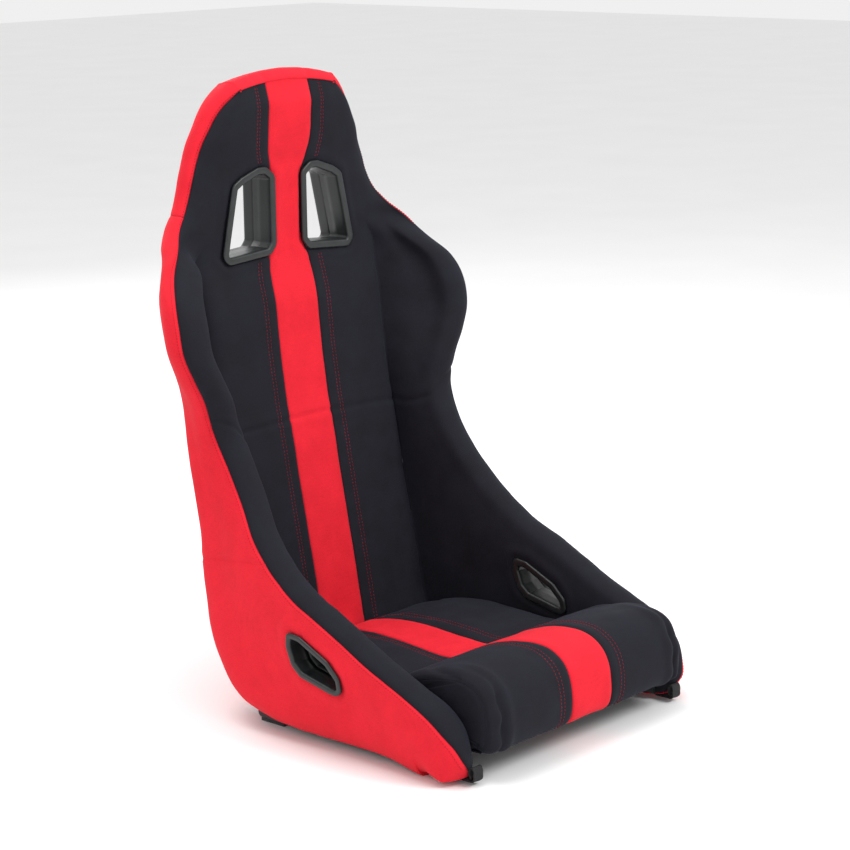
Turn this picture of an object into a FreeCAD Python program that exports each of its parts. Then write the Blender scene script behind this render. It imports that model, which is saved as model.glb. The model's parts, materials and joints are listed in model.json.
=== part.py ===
"""Fixed-back racing bucket seat, modelled as an assembly of its separate pieces, in millimetres.

Row frame: +Z up, the occupant faces -Y, the seat is symmetric about X = 0.  The origin is the centre of the
four floor-mounting holes, in the plane of the foot plates' undersides.

A bent steel tube frame carries elastic webbing, foam and a sewn cover.  The seat cushion lifts out.
"""
import math
import os

import FreeCAD
import Part
from FreeCAD import Vector

doc = FreeCAD.newDocument("racing_seat")

# ---------------------------------------------------------------- driving dimensions
DIMENSIONS = {
    "hole_pitch_x": 360.0,      # floor holes, side to side
    "hole_pitch_y": 290.0,      # floor holes, front to back
    "hole_dia": 8.5,            # clearance for an M8 bolt
    "floor_z": 18.0,            # height of the floor holes' plane above the datum that the lines below use
    "plate_thick": 5.0,
    "plate_wide": 50.0,
    "plate_long": 44.0,
    "plate_edge": 15.0,         # hole centre to the plate's inner edge
    "nut_flats": 13.0,
    "nut_high": 8.0,
    "tube_dia": 25.0,           # hoop, rails and base cross tubes
    "tube_wall": 2.0,
    "brace_dia": 18.0,          # tubes inside the backrest
    "brace_wall": 1.5,
    "rail_x": 212.0,            # rail axis, from the middle
    "rail_front": -196.0,
    "rail_rear": 160.0,
    "front_tube_y": -108.0,
    "rear_tube_y": 108.0,
    "upright_x": 110.0,
    "strap_wide": 50.0,
    "strap_thick": 2.0,
    "strap_pitch": 62.0,
    "strap_reach": 206.5,       # the straps end on the rails here, just inside the bolsters
    "felt_thick": 2.5,
    "skin": 2.0,                # thickness of a laminated cover panel
    "glue_gap": 0.4,            # between a cover panel and its foam
    "seam_gap": 0.4,            # between two cover panels
    "crease_x": 180.0,          # where the back panel meets the bolster
    "stripe_half": 42.0,
    "head_base_z": 620.0,       # the head foam sits on the back foam here
    "base_z": 36.0,             # underside of the bolster and back foam
    "cushion_base_z": 57.6,     # underside of the cushion foam
    "bezel_inset": 11.0,        # flange edge to opening edge
    "bezel_flange": 4.0,
    "bezel_wall": 2.2,
    "sleeve_gap": 0.2,          # between the two telescoping sleeves of a bezel pair
    "shoulder_front_y": 306.8,  # back of the front shoulder bezel's flange
    "shoulder_rear_y": 360.2,   # front of the rear shoulder bezel's flange
    "lap_inner_x": 206.2,       # outer side of the inner lap bezel's flange
    "lap_outer_x": 265.3,       # inner side of the outer lap bezel's flange
    "plug_head": 3.0,
    "tab_wide": 18.0,
    "tab_thick": 2.0,
}
sheet = doc.addObject("Spreadsheet::Sheet", "dims")
for row, (alias, value) in enumerate(DIMENSIONS.items(), start=1):
    sheet.set(f"A{row}", alias)
    sheet.set(f"B{row}", str(value))
    sheet.setAlias(f"B{row}", alias)
doc.recompute()

SIDES = {"left": -1.0, "right": 1.0}     # as the picture of the front shows them: left is -X
parts = []                               # every sub-part, in the order it was made


def dim(alias):
    """A driving dimension, read from the spreadsheet."""
    return float(sheet.get(alias))


def bind(item, **expressions):
    """Binds properties of a document object to spreadsheet cells."""
    for name, expression in expressions.items():
        item.setExpression(name.replace("__", "."), expression)
    return item


def keep(item, label):
    """Lists a document object as a sub-part under its own label."""
    item.Label = label
    parts.append(item)
    return item


def feature(label, shape):
    """A sub-part whose shape comes from Part's own functions."""
    item = doc.addObject("Part::Feature", label)
    item.Shape = shape
    item.Placement = FreeCAD.Placement(shape.Placement)
    return keep(item, label)


def mirrored(shape, side):
    """The shape as made for the right-hand side, or its mirror image for the left."""
    return shape if side > 0 else shape.mirror(Vector(0, 0, 0), Vector(1, 0, 0))


def box(low, high):
    low, high = Vector(*low), Vector(*high)
    size = high - low
    return Part.makeBox(size.x, size.y, size.z, low)


def one_solid(shape):
    """The single solid inside a boolean's result, or a compound of its solids."""
    solids = shape.Solids
    return solids[0] if len(solids) == 1 else Part.makeCompound(solids)


# ---------------------------------------------------------------- bent tubes
def bend_path(points):
    """Straight runs joined by tangent arcs through a list of corner points, as a tube bender makes them."""
    points = [Vector(*p) for p in points]
    edges, start = [], points[0]
    for before, corner, after in zip(points, points[1:], points[2:]):
        run_in, run_out = corner - before, after - corner
        turn = run_in.getAngle(run_out)
        setback = 0.45 * min(run_in.Length, run_out.Length)
        if turn < math.radians(0.5):
            continue
        first = corner - run_in.normalize() * setback
        last = corner + run_out.normalize() * setback
        radius = setback / math.tan(turn / 2)
        bisector = (first + last - corner * 2).normalize()
        to_arc = math.hypot(radius, setback) - radius
        edges.append(Part.LineSegment(start, first).toShape())
        edges.append(Part.Arc(first, corner + bisector * to_arc, last).toShape())
        start = last
    edges.append(Part.LineSegment(start, points[-1]).toShape())
    return Part.Wire(edges)


def swept(path, radius):
    """A solid of round section along a path."""
    start, direction = path.Edges[0].valueAt(path.Edges[0].FirstParameter), path.Edges[0].tangentAt(
        path.Edges[0].FirstParameter)
    ring = Part.Wire(Part.makeCircle(radius, start, direction))
    return path.makePipeShell([ring], True, False)


def bent_tube(points, dia, wall):
    """(the hollow tube, the solid rod of its outside) along bent corner points."""
    path = bend_path(points)
    rod = swept(path, dia / 2)
    return rod.cut(swept(path, dia / 2 - wall)), rod


def straight_tube(name, centre, rotation, dia, length):
    """A hollow tube of two Part cylinders and a cut, its sizes bound to the sheet.  Returns (cut, outer)."""
    outer = doc.addObject("Part::Cylinder", name + "_outside")
    inner = doc.addObject("Part::Cylinder", name + "_inside")
    bind(outer, Radius=f"dims.{dia}_dia / 2", Height=length)
    bind(inner, Radius=f"dims.{dia}_dia / 2 - dims.{dia}_wall", Height=length)
    for item in (outer, inner):
        item.Placement = FreeCAD.Placement(Vector(*centre), rotation)
    cut = doc.addObject("Part::Cut", name)
    cut.Base, cut.Tool = outer, inner
    return cut, outer


ALONG_Y = FreeCAD.Rotation(Vector(1, 0, 0), -90)
ALONG_X = FreeCAD.Rotation(Vector(0, 1, 0), 90)
FLOOR_Z = dim("floor_z")
RAIL_Z = FLOOR_Z + dim("plate_thick") + dim("tube_dia") / 2
RAIL_TOP = FLOOR_Z + dim("plate_thick") + dim("tube_dia")

# Right-hand half of the main hoop's corner points, from its foot on the rail up to the crown.
HOOP_HALF = [
    (218, -180, RAIL_Z), (227, -181, 58), (238, -176, 84), (240, -112, 120), (239, -40, 153),
    (237, 22, 186), (231, 78, 212), (225, 124, 243), (219, 164, 296), (213, 206, 350),
    (216, 226, 405), (240, 226, 462), (262, 226, 522), (256, 246, 578), (204, 317, 640),
    (166, 337, 706), (146, 332, 768), (122, 330, 818), (76, 326, 850),
]
hoop_points = [(-x, y, z) for x, y, z in HOOP_HALF] + list(reversed(HOOP_HALF))


UPRIGHT_LINE = [(223, 66), (243, 130), (268, 280), (296, 420), (316, 574)]


def back_straps():
    """The elastic straps across the two uprights, lying along their backs."""
    straps = []
    for y, z in ((259.5, 227.0), (278.0, 330.0), (293.5, 407.5), (304.5, 484.0)):
        tilt = 0.19 if z > 400 else 0.17
        if z > 420:
            tilt = 0.13
        strap = box((-124, 0, -22), (124, dim("strap_thick"), 22))
        strap.rotate(Vector(0, 0, 0), Vector(1, 0, 0), -math.degrees(math.atan(tilt)))
        strap.translate(Vector(0, y + dim("brace_dia") / 2 + 1.6, z))
        straps.append(strap)
    return Part.makeCompound(straps)


def make_frame():
    """The welded steel frame.  Returns the rods of its tubes, which the foam is moulded round."""
    rods = []
    rails = {}
    for name, side in SIDES.items():
        centre = (side * dim("rail_x"), dim("rail_front"), RAIL_Z)
        rail, outer = straight_tube(f"base_rail_{name}", centre, ALONG_Y, "tube", "dims.rail_rear - dims.rail_front")
        rails[name] = outer
        keep(rail, f"base_rail_{name}")
    doc.recompute()
    reach = dim("plug_head") + 0.2
    rail_rods = [Part.makeCylinder(dim("tube_dia") / 2, dim("rail_rear") - dim("rail_front") + 2 * reach,
                                   Vector(side * dim("rail_x"), dim("rail_front") - reach, RAIL_Z),
                                   Vector(0, 1, 0)) for side in SIDES.values()]
    for name, y in (("front_cross_tube", "front_tube_y"), ("rear_cross_tube", "rear_tube_y")):
        start = (-dim("rail_x"), dim(y), RAIL_Z)
        tube, outer = straight_tube(name + "_blank", start, ALONG_X, "tube", "2 * dims.rail_x")
        doc.recompute()
        coped = tube.Shape.cut(rail_rods[0]).cut(rail_rods[1])
        feature(name, one_solid(max_solid(coped)))
        rods.append(outer.Shape)
    hoop, hoop_rod = bent_tube(hoop_points, dim("tube_dia"), dim("tube_wall"))
    feature("main_hoop", max_solid(hoop.cut(rail_rods[0]).cut(rail_rods[1])))
    brace_dia, brace_wall = dim("brace_dia"), dim("brace_wall")
    shoulder, shoulder_rod = bent_tube(mirror_points([(258, 243, 574), (226, 300, 574), (186, 316, 574)]),
                                       brace_dia, brace_wall)
    lumbar, lumbar_rod = bent_tube(mirror_points([(218, 172, 306), (212, 238, 300), (176, 274, 300)]),
                                   brace_dia, brace_wall)
    head, head_rod = bent_tube([(-145, 332, 770), (145, 332, 770)], brace_dia, brace_wall)
    for label, tube in (("shoulder_cross_tube", shoulder), ("lumbar_cross_tube", lumbar),
                        ("head_cross_tube", head)):
        feature(label, max_solid(tube.cut(hoop_rod)))
    for name, side in SIDES.items():
        x = side * dim("upright_x")
        points = [(x, dim("rear_tube_y"), RAIL_Z), (x, 206, 30)] + [(x, y, z) for y, z in UPRIGHT_LINE]
        upright, rod = bent_tube(points, brace_dia, brace_wall)
        for cutter in (rods[1], shoulder_rod, lumbar_rod):
            upright = upright.cut(cutter)
        feature(f"back_upright_{name}", Part.makeCompound([s for s in upright.Solids if s.Volume > 100]))
        rods.append(rod)
    strut = box((-11, 329, 574), (11, 333, 770)).cut(shoulder_rod).cut(head_rod)
    feature("head_strut", max_solid(strut))
    straps = back_straps()
    feature("back_webbing", straps)
    rods += straps.Solids
    rods += [hoop_rod, shoulder_rod, lumbar_rod, head_rod, box((-11, 329, 574), (11, 333, 770))]
    return rods, rail_rods


def max_solid(shape):
    return max(shape.Solids, key=lambda s: s.Volume)


def mirror_points(half):
    """Corner points for a symmetric tube, from its right-hand half listed outside in."""
    return [(-x, y, z) for x, y, z in half] + list(reversed(half))


def make_mounts():
    """Foot plates with the floor holes and their weld nuts."""
    rail_x, hole_x = dim("rail_x"), dim("hole_pitch_x") / 2
    for end, sign in (("front", -1.0), ("rear", 1.0)):
        for name, side in SIDES.items():
            plate = doc.addObject("PartDesign::Body", f"foot_plate_{end}_{name}")
            planes = {f.Role: f for f in plate.Origin.OriginFeatures}
            sketch = plate.newObject("Sketcher::SketchObject", f"outline_{end}_{name}")
            sketch.AttachmentSupport = [(planes["XY_Plane"], "")]
            sketch.MapMode = "FlatFace"
            y = sign * dim("hole_pitch_y") / 2
            x0 = side * (hole_x - dim("plate_edge"))
            x1 = x0 + side * dim("plate_wide")
            y0, y1 = y - dim("plate_long") / 2, y + dim("plate_long") / 2
            corners = [Vector(x0, y0, 0), Vector(x1, y0, 0), Vector(x1, y1, 0), Vector(x0, y1, 0)]
            for a, b in zip(corners, corners[1:] + corners[:1]):
                sketch.addGeometry(Part.LineSegment(a, b), False)
            sketch.addGeometry(Part.Circle(Vector(side * hole_x, y, 0), Vector(0, 0, 1), dim("hole_dia") / 2), False)
            pad = plate.newObject("PartDesign::Pad", f"pad_{end}_{name}")
            pad.Profile = sketch
            bind(pad, Length="dims.plate_thick")
            plate.Placement = FreeCAD.Placement(Vector(0, 0, FLOOR_Z), FreeCAD.Rotation())
            keep(plate, f"foot_plate_{end}_{name}")
    nuts = []
    for sx in (-1, 1):
        for sy in (-1, 1):
            x, y = sx * hole_x, sy * dim("hole_pitch_y") / 2
            hexagon = Part.makePolygon([
                Vector(x + dim("nut_flats") / math.sqrt(3) * math.cos(math.radians(a)),
                       y + dim("nut_flats") / math.sqrt(3) * math.sin(math.radians(a)), FLOOR_Z + dim("plate_thick"))
                for a in range(30, 391, 60)])
            body = Part.Face(hexagon).extrude(Vector(0, 0, dim("nut_high")))
            bore = Part.makeCylinder(dim("hole_dia") / 2, 40, Vector(x, y, 0))
            nuts.append(body.cut(bore))
    feature("weld_nuts", Part.makeCompound(nuts))
    plugs = []
    for side in SIDES.values():
        for y, sense in ((dim("rail_front"), -1), (dim("rail_rear"), 1)):
            start = Vector(side * rail_x, y, RAIL_Z)
            stem = Part.makeCylinder(dim("tube_dia") / 2 - dim("tube_wall") - 0.2, 12, start,
                                     Vector(0, -sense, 0))
            head = Part.makeCylinder(dim("tube_dia") / 2, dim("plug_head"), start, Vector(0, sense, 0))
            plugs.append(stem.fuse(head).removeSplitter())
    feature("rail_end_plugs", Part.makeCompound(plugs))


# ---------------------------------------------------------------- the upholstered surface
# Lines in the YZ plane, as (y, z), of the covered outside.
FRONT_LINE = [(304, 901), (302, 880), (295, 852), (298, 800), (307, 765), (310, 641), (293, 576), (286, 505),
              (276, 435), (268, 400), (250, 300), (232, 215), (210, 97), (207, 60), (206, 34)]
REAR_LINE = [(344, 901), (352, 870), (359, 805), (360, 772), (358, 632), (347, 576), (337, 480), (331, 416),
             (317, 338), (295, 237), (277, 157), (260, 99), (240, 62), (226, 45), (216, 36), (-300, 36)]
CORNER_LINE = [(350, 720), (344, 674), (328, 640), (310, 593), (298, 524), (297, 480), (296, 416), (284, 338),
               (264, 237), (249, 157), (231, 114), (210, 82), (190, 58), (168, 46), (146, 40), (121, 36),
               (93, 33), (-64, 33), (-107, 30), (-149, 26), (-190, 30)]
CUSHION_TOP = [(203, 90), (190, 101), (160, 108), (98, 113), (20, 109), (-35, 108), (-52, 111), (-72, 123),
               (-95, 137), (-142, 154), (-188, 160), (-218, 154), (-237, 139), (-248, 106), (-248, 78),
               (-243, 68), (-232, 62)]
# The rim of the bolster: (x, y, z) of the middle of its rolled edge, and the roll's radius.
RIM = [
    (205, 309, 680, 19), (211, 305, 665, 22), (229, 287, 638, 27), (254, 258, 604, 29),
    (262, 243, 570, 30), (262, 236, 536, 30), (248, 232, 500, 30), (231, 232, 468, 30), (217, 232, 424, 29),
    (212, 208, 368, 28), (215, 182, 325, 28), (224, 151, 280, 28), (230, 116, 244, 28), (235, 67, 210, 28),
    (237, 12, 187, 27), (237, -38, 164, 27), (237, -75, 145, 27), (237, -150, 113, 27), (234, -183, 92, 28),
    (232, -197, 72, 28), (231, -202, 50, 26), (229, -204, 28, 22),
    (228, -204, 18, 20),
]
BEND_PIVOT = (-40.0, 430.0)      # the section planes fan about this line between backrest and seat
FRONT_PIVOT = (-150.0, 20.0)     # and about this one where the cheek turns down at the front
HEAD_OUTLINE = [(206, 674), (198, 692), (183, 732), (166, 784), (150, 819), (127, 857), (95, 881), (55, 895), (0, 900)]


def along(origin, direction, line):
    """Distance from origin along a direction to its first crossing of a line of points, or None."""
    best = None
    for (ay, az), (by, bz) in zip(line, line[1:]):
        ey, ez = by - ay, bz - az
        det = direction[0] * -ez + ey * direction[1]
        if abs(det) < 1e-9:
            continue
        py, pz = ay - origin[0], az - origin[1]
        reach = (py * -ez + ey * pz) / det
        share = (direction[0] * pz - direction[1] * py) / det
        if -1e-6 <= share <= 1 + 1e-6 and reach > 1 and (best is None or reach < best):
            best = reach
    return best


def rim_at(origin, direction):
    """(x, distance, radius) of the rim's middle on one section plane."""
    for (ax, ay, az, ar), (bx, by, bz, br) in zip(RIM, RIM[1:]):
        reach = along(origin, direction, [(ay, az), (by, bz)])
        if reach is None:
            continue
        y, z = origin[0] + reach * direction[0], origin[1] + reach * direction[1]
        t = math.hypot(y - ay, z - az) / math.hypot(by - ay, bz - az)
        return ax + t * (bx - ax), reach, ar + t * (br - ar)
    raise ValueError(f"no rim on the plane at {origin} {direction}")


# One row per section plane: origin (y, z), direction towards the underside in degrees above +Y, and the
# half-widths of the inner face, of the side and of the side's lower corner.
STATIONS = []
for z, inner, side, corner in ((672, 180, 224, 208), (660, 180, 236, 218), (638, 180, 254, 234),
                               (604, 180, 280, 254), (570, 180, 288, 262), (536, 180, 287, 260),
                               (500, 180, 272, 251), (468, 180, 256, 243), (430, 180, 246, 238)):
    STATIONS.append(((-40.0, float(z)), 0.0, inner, side, corner))
for angle, inner, side, corner in ((-13, 180, 243, 237), (-26, 180, 245, 238), (-38, 180, 252, 243), (-47, 180, 257, 248),
                                   (-53, 181, 259, 252), (-60, 192, 261, 252), (-67, 202, 262, 252),
                                   (-75, 207, 262, 251), (-83, 208, 262, 250)):
    STATIONS.append((BEND_PIVOT, float(angle), inner, side, corner))
for y in (-40, -75, -112, -150):
    STATIONS.append(((float(y), 430.0), -90.0, 208, 262, 250))
for angle, inner, side, corner in ((112, 208, 261, 249), (128, 208, 259, 247), (143, 208, 256, 245), (158, 208, 252, 242),
                                   (172, 208, 246, 238)):
    out = (math.cos(math.radians(angle)), math.sin(math.radians(angle)))
    STATIONS.append(((FRONT_PIVOT[0] + 200 * out[0], FRONT_PIVOT[1] + 200 * out[1]), angle - 180.0,
                     inner, side, corner))


def section(station):
    """The covered outline of the right-hand bolster on one section plane, as (x, distance) points."""
    origin, angle, inner, side, corner = station
    direction = (math.cos(math.radians(angle)), math.sin(math.radians(angle)))
    x, mid, radius = rim_at(origin, direction)
    at_front = origin[0] < -150.0
    if at_front:
        rise = math.sin(math.radians(angle + 180))
        under = 200 - min(16 / rise, 47.0)
        rear, crease = under, max(under - 8, mid + 3)
    else:
        rear = along(origin, direction, CORNER_LINE)
        under = along(origin, direction, REAR_LINE)
        crease = along(origin, direction, FRONT_LINE[:13]) or under - 30
        if crease > under:
            crease = under - 30
    slope = min(14.0, 0.3 * (rear - mid))
    return [
        (inner, crease),
        ((inner + x - radius) / 2, (crease + mid) / 2),
        (max(x - radius, inner + 1.5), mid),
        (x - 0.707 * radius, mid - 0.707 * radius),
        (x, mid - radius),
        (x + 0.5 * radius, mid - 0.866 * radius),
        (x + 0.866 * radius, mid - 0.5 * radius),
        (x + radius, mid + 2),
        (side, mid + 0.45 * (rear - mid)),
        (corner, rear - slope),
        (corner - slope, rear),
        (inner, under),
    ]


def offset_line(points, distance):
    """An open run of points moved sideways, to its left when the distance is positive, with mitred corners."""
    moved = []
    for i, (px, py) in enumerate(points):
        normals = []
        for a, b in ((i - 1, i), (i, i + 1)):
            if a < 0 or b >= len(points):
                continue
            dx, dy = points[b][0] - points[a][0], points[b][1] - points[a][1]
            length = math.hypot(dx, dy)
            normals.append((-dy / length, dx / length))
        nx = sum(n[0] for n in normals) / len(normals)
        ny = sum(n[1] for n in normals) / len(normals)
        scale = distance / max(0.5, nx * nx + ny * ny)
        moved.append((px + nx * scale, py + ny * scale))
    return moved


def inset_section(outline, distance):
    """A bolster outline moved inwards, still ending on the joint with the back at its own half-width."""
    moved = offset_line(outline, distance)
    (ax, ay), (bx, by) = moved[-2], moved[-1]
    inner = outline[-1][0]
    moved[-1] = (inner, ay + (by - ay) * (inner - ax) / (bx - ax))
    return moved


def offset_loop(points, distance):
    """A closed run of points moved inwards (anticlockwise loops, positive distance)."""
    wrapped = [points[-1]] + list(points) + [points[0]]
    return offset_line(wrapped, distance)[1:-1]


def place(station, points):
    """Section points put into space."""
    origin, angle = station[0], station[1]
    dy, dz = math.cos(math.radians(angle)), math.sin(math.radians(angle))
    return [Vector(x, origin[0] + s * dy, origin[1] + s * dz) for x, s in points]


def closed(points):
    return Part.makePolygon(list(points) + [points[0]])


def ruled_solid(wires):
    solid = Part.makeLoft(wires, True, True)
    return solid if solid.Volume > 0 else solid.reversed()


def bolster_foam_blank():
    """The right-hand bolster's foam before its holes."""
    inset = dim("skin") + dim("glue_gap")
    wires = []
    for station in STATIONS:
        outline = inset_section(section(station), inset)
        outline[-1] = (outline[-1][0] + 0.3, outline[-1][1])
        wires.append(closed(place(station, outline)))
    return ruled_solid(wires)


def bolster_skin(first, last, stations):
    """A sewn panel of the right-hand bolster's cover between two corners of its outline."""
    wires = []
    for station in stations:
        outline = section(station)
        outer = trimmed(outline[first:last + 1], dim("seam_gap") / 2)
        inner = trimmed(inset_section(outline, dim("skin"))[first:last + 1], dim("seam_gap") / 2)
        wires.append(closed(place(station, outer + list(reversed(inner)))))
    return ruled_solid(wires)


def trimmed(points, amount):
    """A run of points shortened a little at both ends."""
    points = list(points)
    for end, beside in ((0, 1), (-1, -2)):
        (ax, ay), (bx, by) = points[end], points[beside]
        length = math.hypot(bx - ax, by - ay)
        points[end] = (ax + (bx - ax) * amount / length, ay + (by - ay) * amount / length)
    return points


def yz_slab(points, half):
    """A YZ outline extruded across the seat."""
    face = Part.Face(closed([Vector(-half, y, z) for y, z in points]))
    return face.extrude(Vector(2 * half, 0, 0))


def xz_slab(points):
    """An XZ outline extruded from front to back."""
    face = Part.Face(closed([Vector(x, 100, z) for x, z in points]))
    return face.extrude(Vector(0, 400, 0))


def xy_slab(points, low, high):
    face = Part.Face(closed([Vector(x, y, low) for x, y in points]))
    return face.extrude(Vector(0, 0, high - low))


def make_bolsters(rods, rail_rods):
    """The bolster foams with the frame and the lap-belt slot let into them, and their sewn covers."""
    foam = bolster_foam_blank()
    void = lap_void(void_inset())
    foam = foam.cut(void)
    strap_room = [box((0, step * dim("strap_pitch") - dim("strap_wide") / 2 - 0.5, RAIL_TOP - 0.5),
                      (dim("strap_reach") + 0.5, step * dim("strap_pitch") + dim("strap_wide") / 2 + 0.5, RAIL_TOP + 4))
                  for step in (1, 2)]
    for rod in rods + rail_rods + strap_room:
        if foam.BoundBox.intersect(rod.BoundBox):
            foam = foam.cut(rod)
    foam = max_solid(foam)
    black = bolster_skin(0, 6, STATIONS).cut(void)
    red = bolster_skin(6, 11, STATIONS).cut(void)
    for rod in rods[-5:] + rail_rods + strap_room:
        black, red = black.cut(rod), red.cut(rod)
    black, red = max_solid(black), max_solid(red)
    for name, side in SIDES.items():
        feature(f"bolster_foam_{name}", mirrored(foam, side))
    for name, side in SIDES.items():
        feature(f"bolster_cover_{name}", mirrored(black, side))
        feature(f"side_cover_{name}", mirrored(red, side))


def head_prism(inset):
    """The head and back seen from the front: head outline above the bolsters, a straight strip below."""
    half = offset_line(HEAD_OUTLINE, inset)
    half[-1] = (0.0, half[-1][1])
    crease = dim("crease_x") - 0.2
    step = HEAD_OUTLINE[0][1]
    half = [(crease, 30), (crease, step), (half[0][0], step)] + half[1:]
    loop = half + [(-x, z) for x, z in reversed(half[:-1])]
    return xz_slab(loop)


def make_back(rods):
    """Back and head foam with the cover panels over them."""
    inset = dim("skin") + dim("glue_gap")
    front = offset_line(FRONT_LINE, inset)
    rear = offset_line(REAR_LINE[:15], -inset)
    profile = front + list(reversed(rear))
    block = yz_slab(profile, 300).common(head_prism(inset))
    seam = dim("head_base_z")
    for rod in rods:
        block = block.cut(rod)
    back = block.common(box((-190, 100, dim("base_z")), (190, 450, seam - 0.2)))
    head = block.common(box((-300, 100, seam + 0.2), (300, 450, 897.2)))
    for side in SIDES.values():
        head = head.cut(shoulder_void(side, void_inset()))
    feature("back_foam", max_solid(back))
    feature("head_foam", max_solid(head))
    make_back_covers(rods)


def make_back_covers(rods):
    skin, gap = dim("skin"), dim("seam_gap") / 2
    stripe = dim("stripe_half")
    front_skin = yz_slab(FRONT_LINE + list(reversed(offset_line(FRONT_LINE, skin))), 300).common(head_prism(0))
    rear_points = REAR_LINE[:15]
    rear_skin = yz_slab(rear_points + list(reversed(offset_line(rear_points, -skin))), 300).common(head_prism(0))
    for side in SIDES.values():
        void = shoulder_void(side, void_inset())
        front_skin, rear_skin = front_skin.cut(void), rear_skin.cut(void)
    for rod in rods[2:4]:
        rear_skin = rear_skin.cut(rod)
    front_skin = front_skin.common(box((-300, 100, 58), (300, 500, 897)))
    rear_skin = rear_skin.common(box((-300, 100, 40), (300, 500, 885)))
    for name, side in SIDES.items():
        low, high = sorted((side * (stripe + gap), side * 290))
        feature(f"back_panel_{name}", max_solid(front_skin.common(box((low, 100, 0), (high, 500, 950)))))
    feature("back_stripe", max_solid(front_skin.common(box((-stripe + gap, 100, 0), (stripe - gap, 500, 950)))))
    feature("rear_cover", max_solid(rear_skin))
    ring = head_prism(0).cut(head_prism(skin)).common(box((-300, 100, HEAD_OUTLINE[0][1] + 1), (300, 500, 950)))
    band_front = [(y + skin + gap, z) for y, z in FRONT_LINE[:6]]
    band_rear = [(y - skin - gap, z) for y, z in REAR_LINE[:5]]
    band = ring.common(yz_slab(band_front + list(reversed(band_rear)), 300))
    feature("head_band", max_solid(band))


def make_cushion():
    """The lift-out cushion: foam, base cloth, boxing band and top panels, with the front roll in one piece."""
    skin, gap = dim("skin"), dim("seam_gap") / 2
    inset = skin + dim("glue_gap")
    half = [(-203.5, -252), (-203.5, -60), (-199.5, -20), (-195, 30), (-188, 90), (-178, 130), (-160, 164),
            (-130, 188), (-90, 201), (-50, 204)]
    outline = half + [(-x, y) for x, y in reversed(half)]
    # anticlockwise, so that a positive offset moves inwards
    outline = [(x, y) for x, y in reversed(outline)]
    plan = lambda amount: xy_slab(offset_loop(outline, amount), 0, 200)
    if plan(20).Volume > plan(0).Volume:
        outline.reverse()
    base = dim("cushion_base_z")
    top = offset_line(CUSHION_TOP, inset)
    foam_profile = [(top[0][0], base)] + top + [(-212, base)]
    foam = yz_slab(foam_profile, 300).common(plan(inset))
    feature("cushion_foam", max_solid(foam))
    shell = yz_slab(CUSHION_TOP + list(reversed(offset_line(CUSHION_TOP, skin))), 300).common(plan(0))
    stripe = dim("stripe_half")
    for name, side in SIDES.items():
        low, high = sorted((side * (stripe + gap), side * 290))
        feature(f"cushion_cover_{name}", max_solid(shell.common(box((low, -300, 0), (high, 300, 300)))))
    feature("cushion_stripe", max_solid(shell.common(box((-stripe + gap, -300, 0), (stripe - gap, 300, 300)))))
    under = offset_line(CUSHION_TOP, skin + gap)
    band_profile = [(under[0][0] + 30, base)] + [(under[0][0] + 30, under[0][1])] + under + [(-212, base)]
    ring = plan(0).cut(plan(skin)).common(yz_slab(band_profile, 300))
    feature("cushion_boxing", max_solid(ring))
    cloth = plan(3).common(box((-300, -222, base - 1.4), (300, 300, base - 0.2)))
    feature("cushion_base_cloth", max_solid(cloth))
    strips_up, strips_down = [], []
    for x in (-120.0, 120.0):
        strips_up.append(box((x - 25, -130, base - 3.0), (x + 25, 110, base - 1.5)))
        strips_down.append(box((x - 25, -130, base - 4.6), (x + 25, 110, base - 3.1)))
    feature("cushion_hook_strips", Part.makeCompound(strips_up))
    feature("seat_loop_strips", Part.makeCompound(strips_down))


def make_suspension():
    """Elastic straps over the rails with their end clips, and the felt on top."""
    straps, clips = [], []
    z = RAIL_TOP + 0.1
    thick = dim("strap_thick")
    for step in (-2, -1, 0, 1, 2):
        y = step * dim("strap_pitch")
        straps.append(box((-dim("strap_reach"), y - dim("strap_wide") / 2, z),
                          (dim("strap_reach"), y + dim("strap_wide") / 2, z + thick)))
        for side in SIDES.values():
            low, high = sorted((side * (dim("strap_reach") - 8), side * dim("strap_reach")))
            clips.append(box((low, y - 20, z + thick + 0.1), (high, y + 20, z + thick + 1.2)))
    feature("seat_webbing", Part.makeCompound(straps))
    feature("webbing_clips", Part.makeCompound(clips))
    felt_z = z + thick + 0.1
    feature("seat_felt", box((-195, -150, felt_z), (195, 150, felt_z + dim("felt_thick"))))


# ---------------------------------------------------------------- belt-slot bezels
LAP_OUTLINE = [(61, 181), (36, 178), (-15, 154), (-36, 134), (-40, 116), (-31, 109), (-18, 110), (36, 122),
               (52, 135), (62, 160)]
SHOULDER_OUTLINE = [(26, 650), (38, 636), (122, 630), (132, 642), (109, 742), (92, 752), (60, 763), (44, 763),
                    (26, 750)]


def inward(points, amount):
    """A closed outline moved inwards whichever way round it runs."""
    area = sum(ax * by - bx * ay for (ax, ay), (bx, by) in zip(points, points[1:] + points[:1]))
    return offset_loop(points, amount if area > 0 else -amount)


def lap_prism(inset, x0, x1):
    face = Part.Face(closed([Vector(x0, y, z) for y, z in inward(LAP_OUTLINE, inset)]))
    return face.extrude(Vector(x1 - x0, 0, 0))


def lap_void(inset):
    return lap_prism(inset, 150, 320)


def shoulder_prism(side, inset, y0, y1):
    face = Part.Face(closed([Vector(side * x, y0, z) for x, z in inward(SHOULDER_OUTLINE, inset)]))
    return face.extrude(Vector(0, y1 - y0, 0))


def shoulder_void(side, inset):
    return shoulder_prism(side, inset, 250, 420)


def void_inset():
    """How far inside a flange's edge the foam and covers are cut away, clear of the outer sleeve."""
    return dim("bezel_inset") - 2 * dim("bezel_wall") - dim("sleeve_gap") - 0.5


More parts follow.
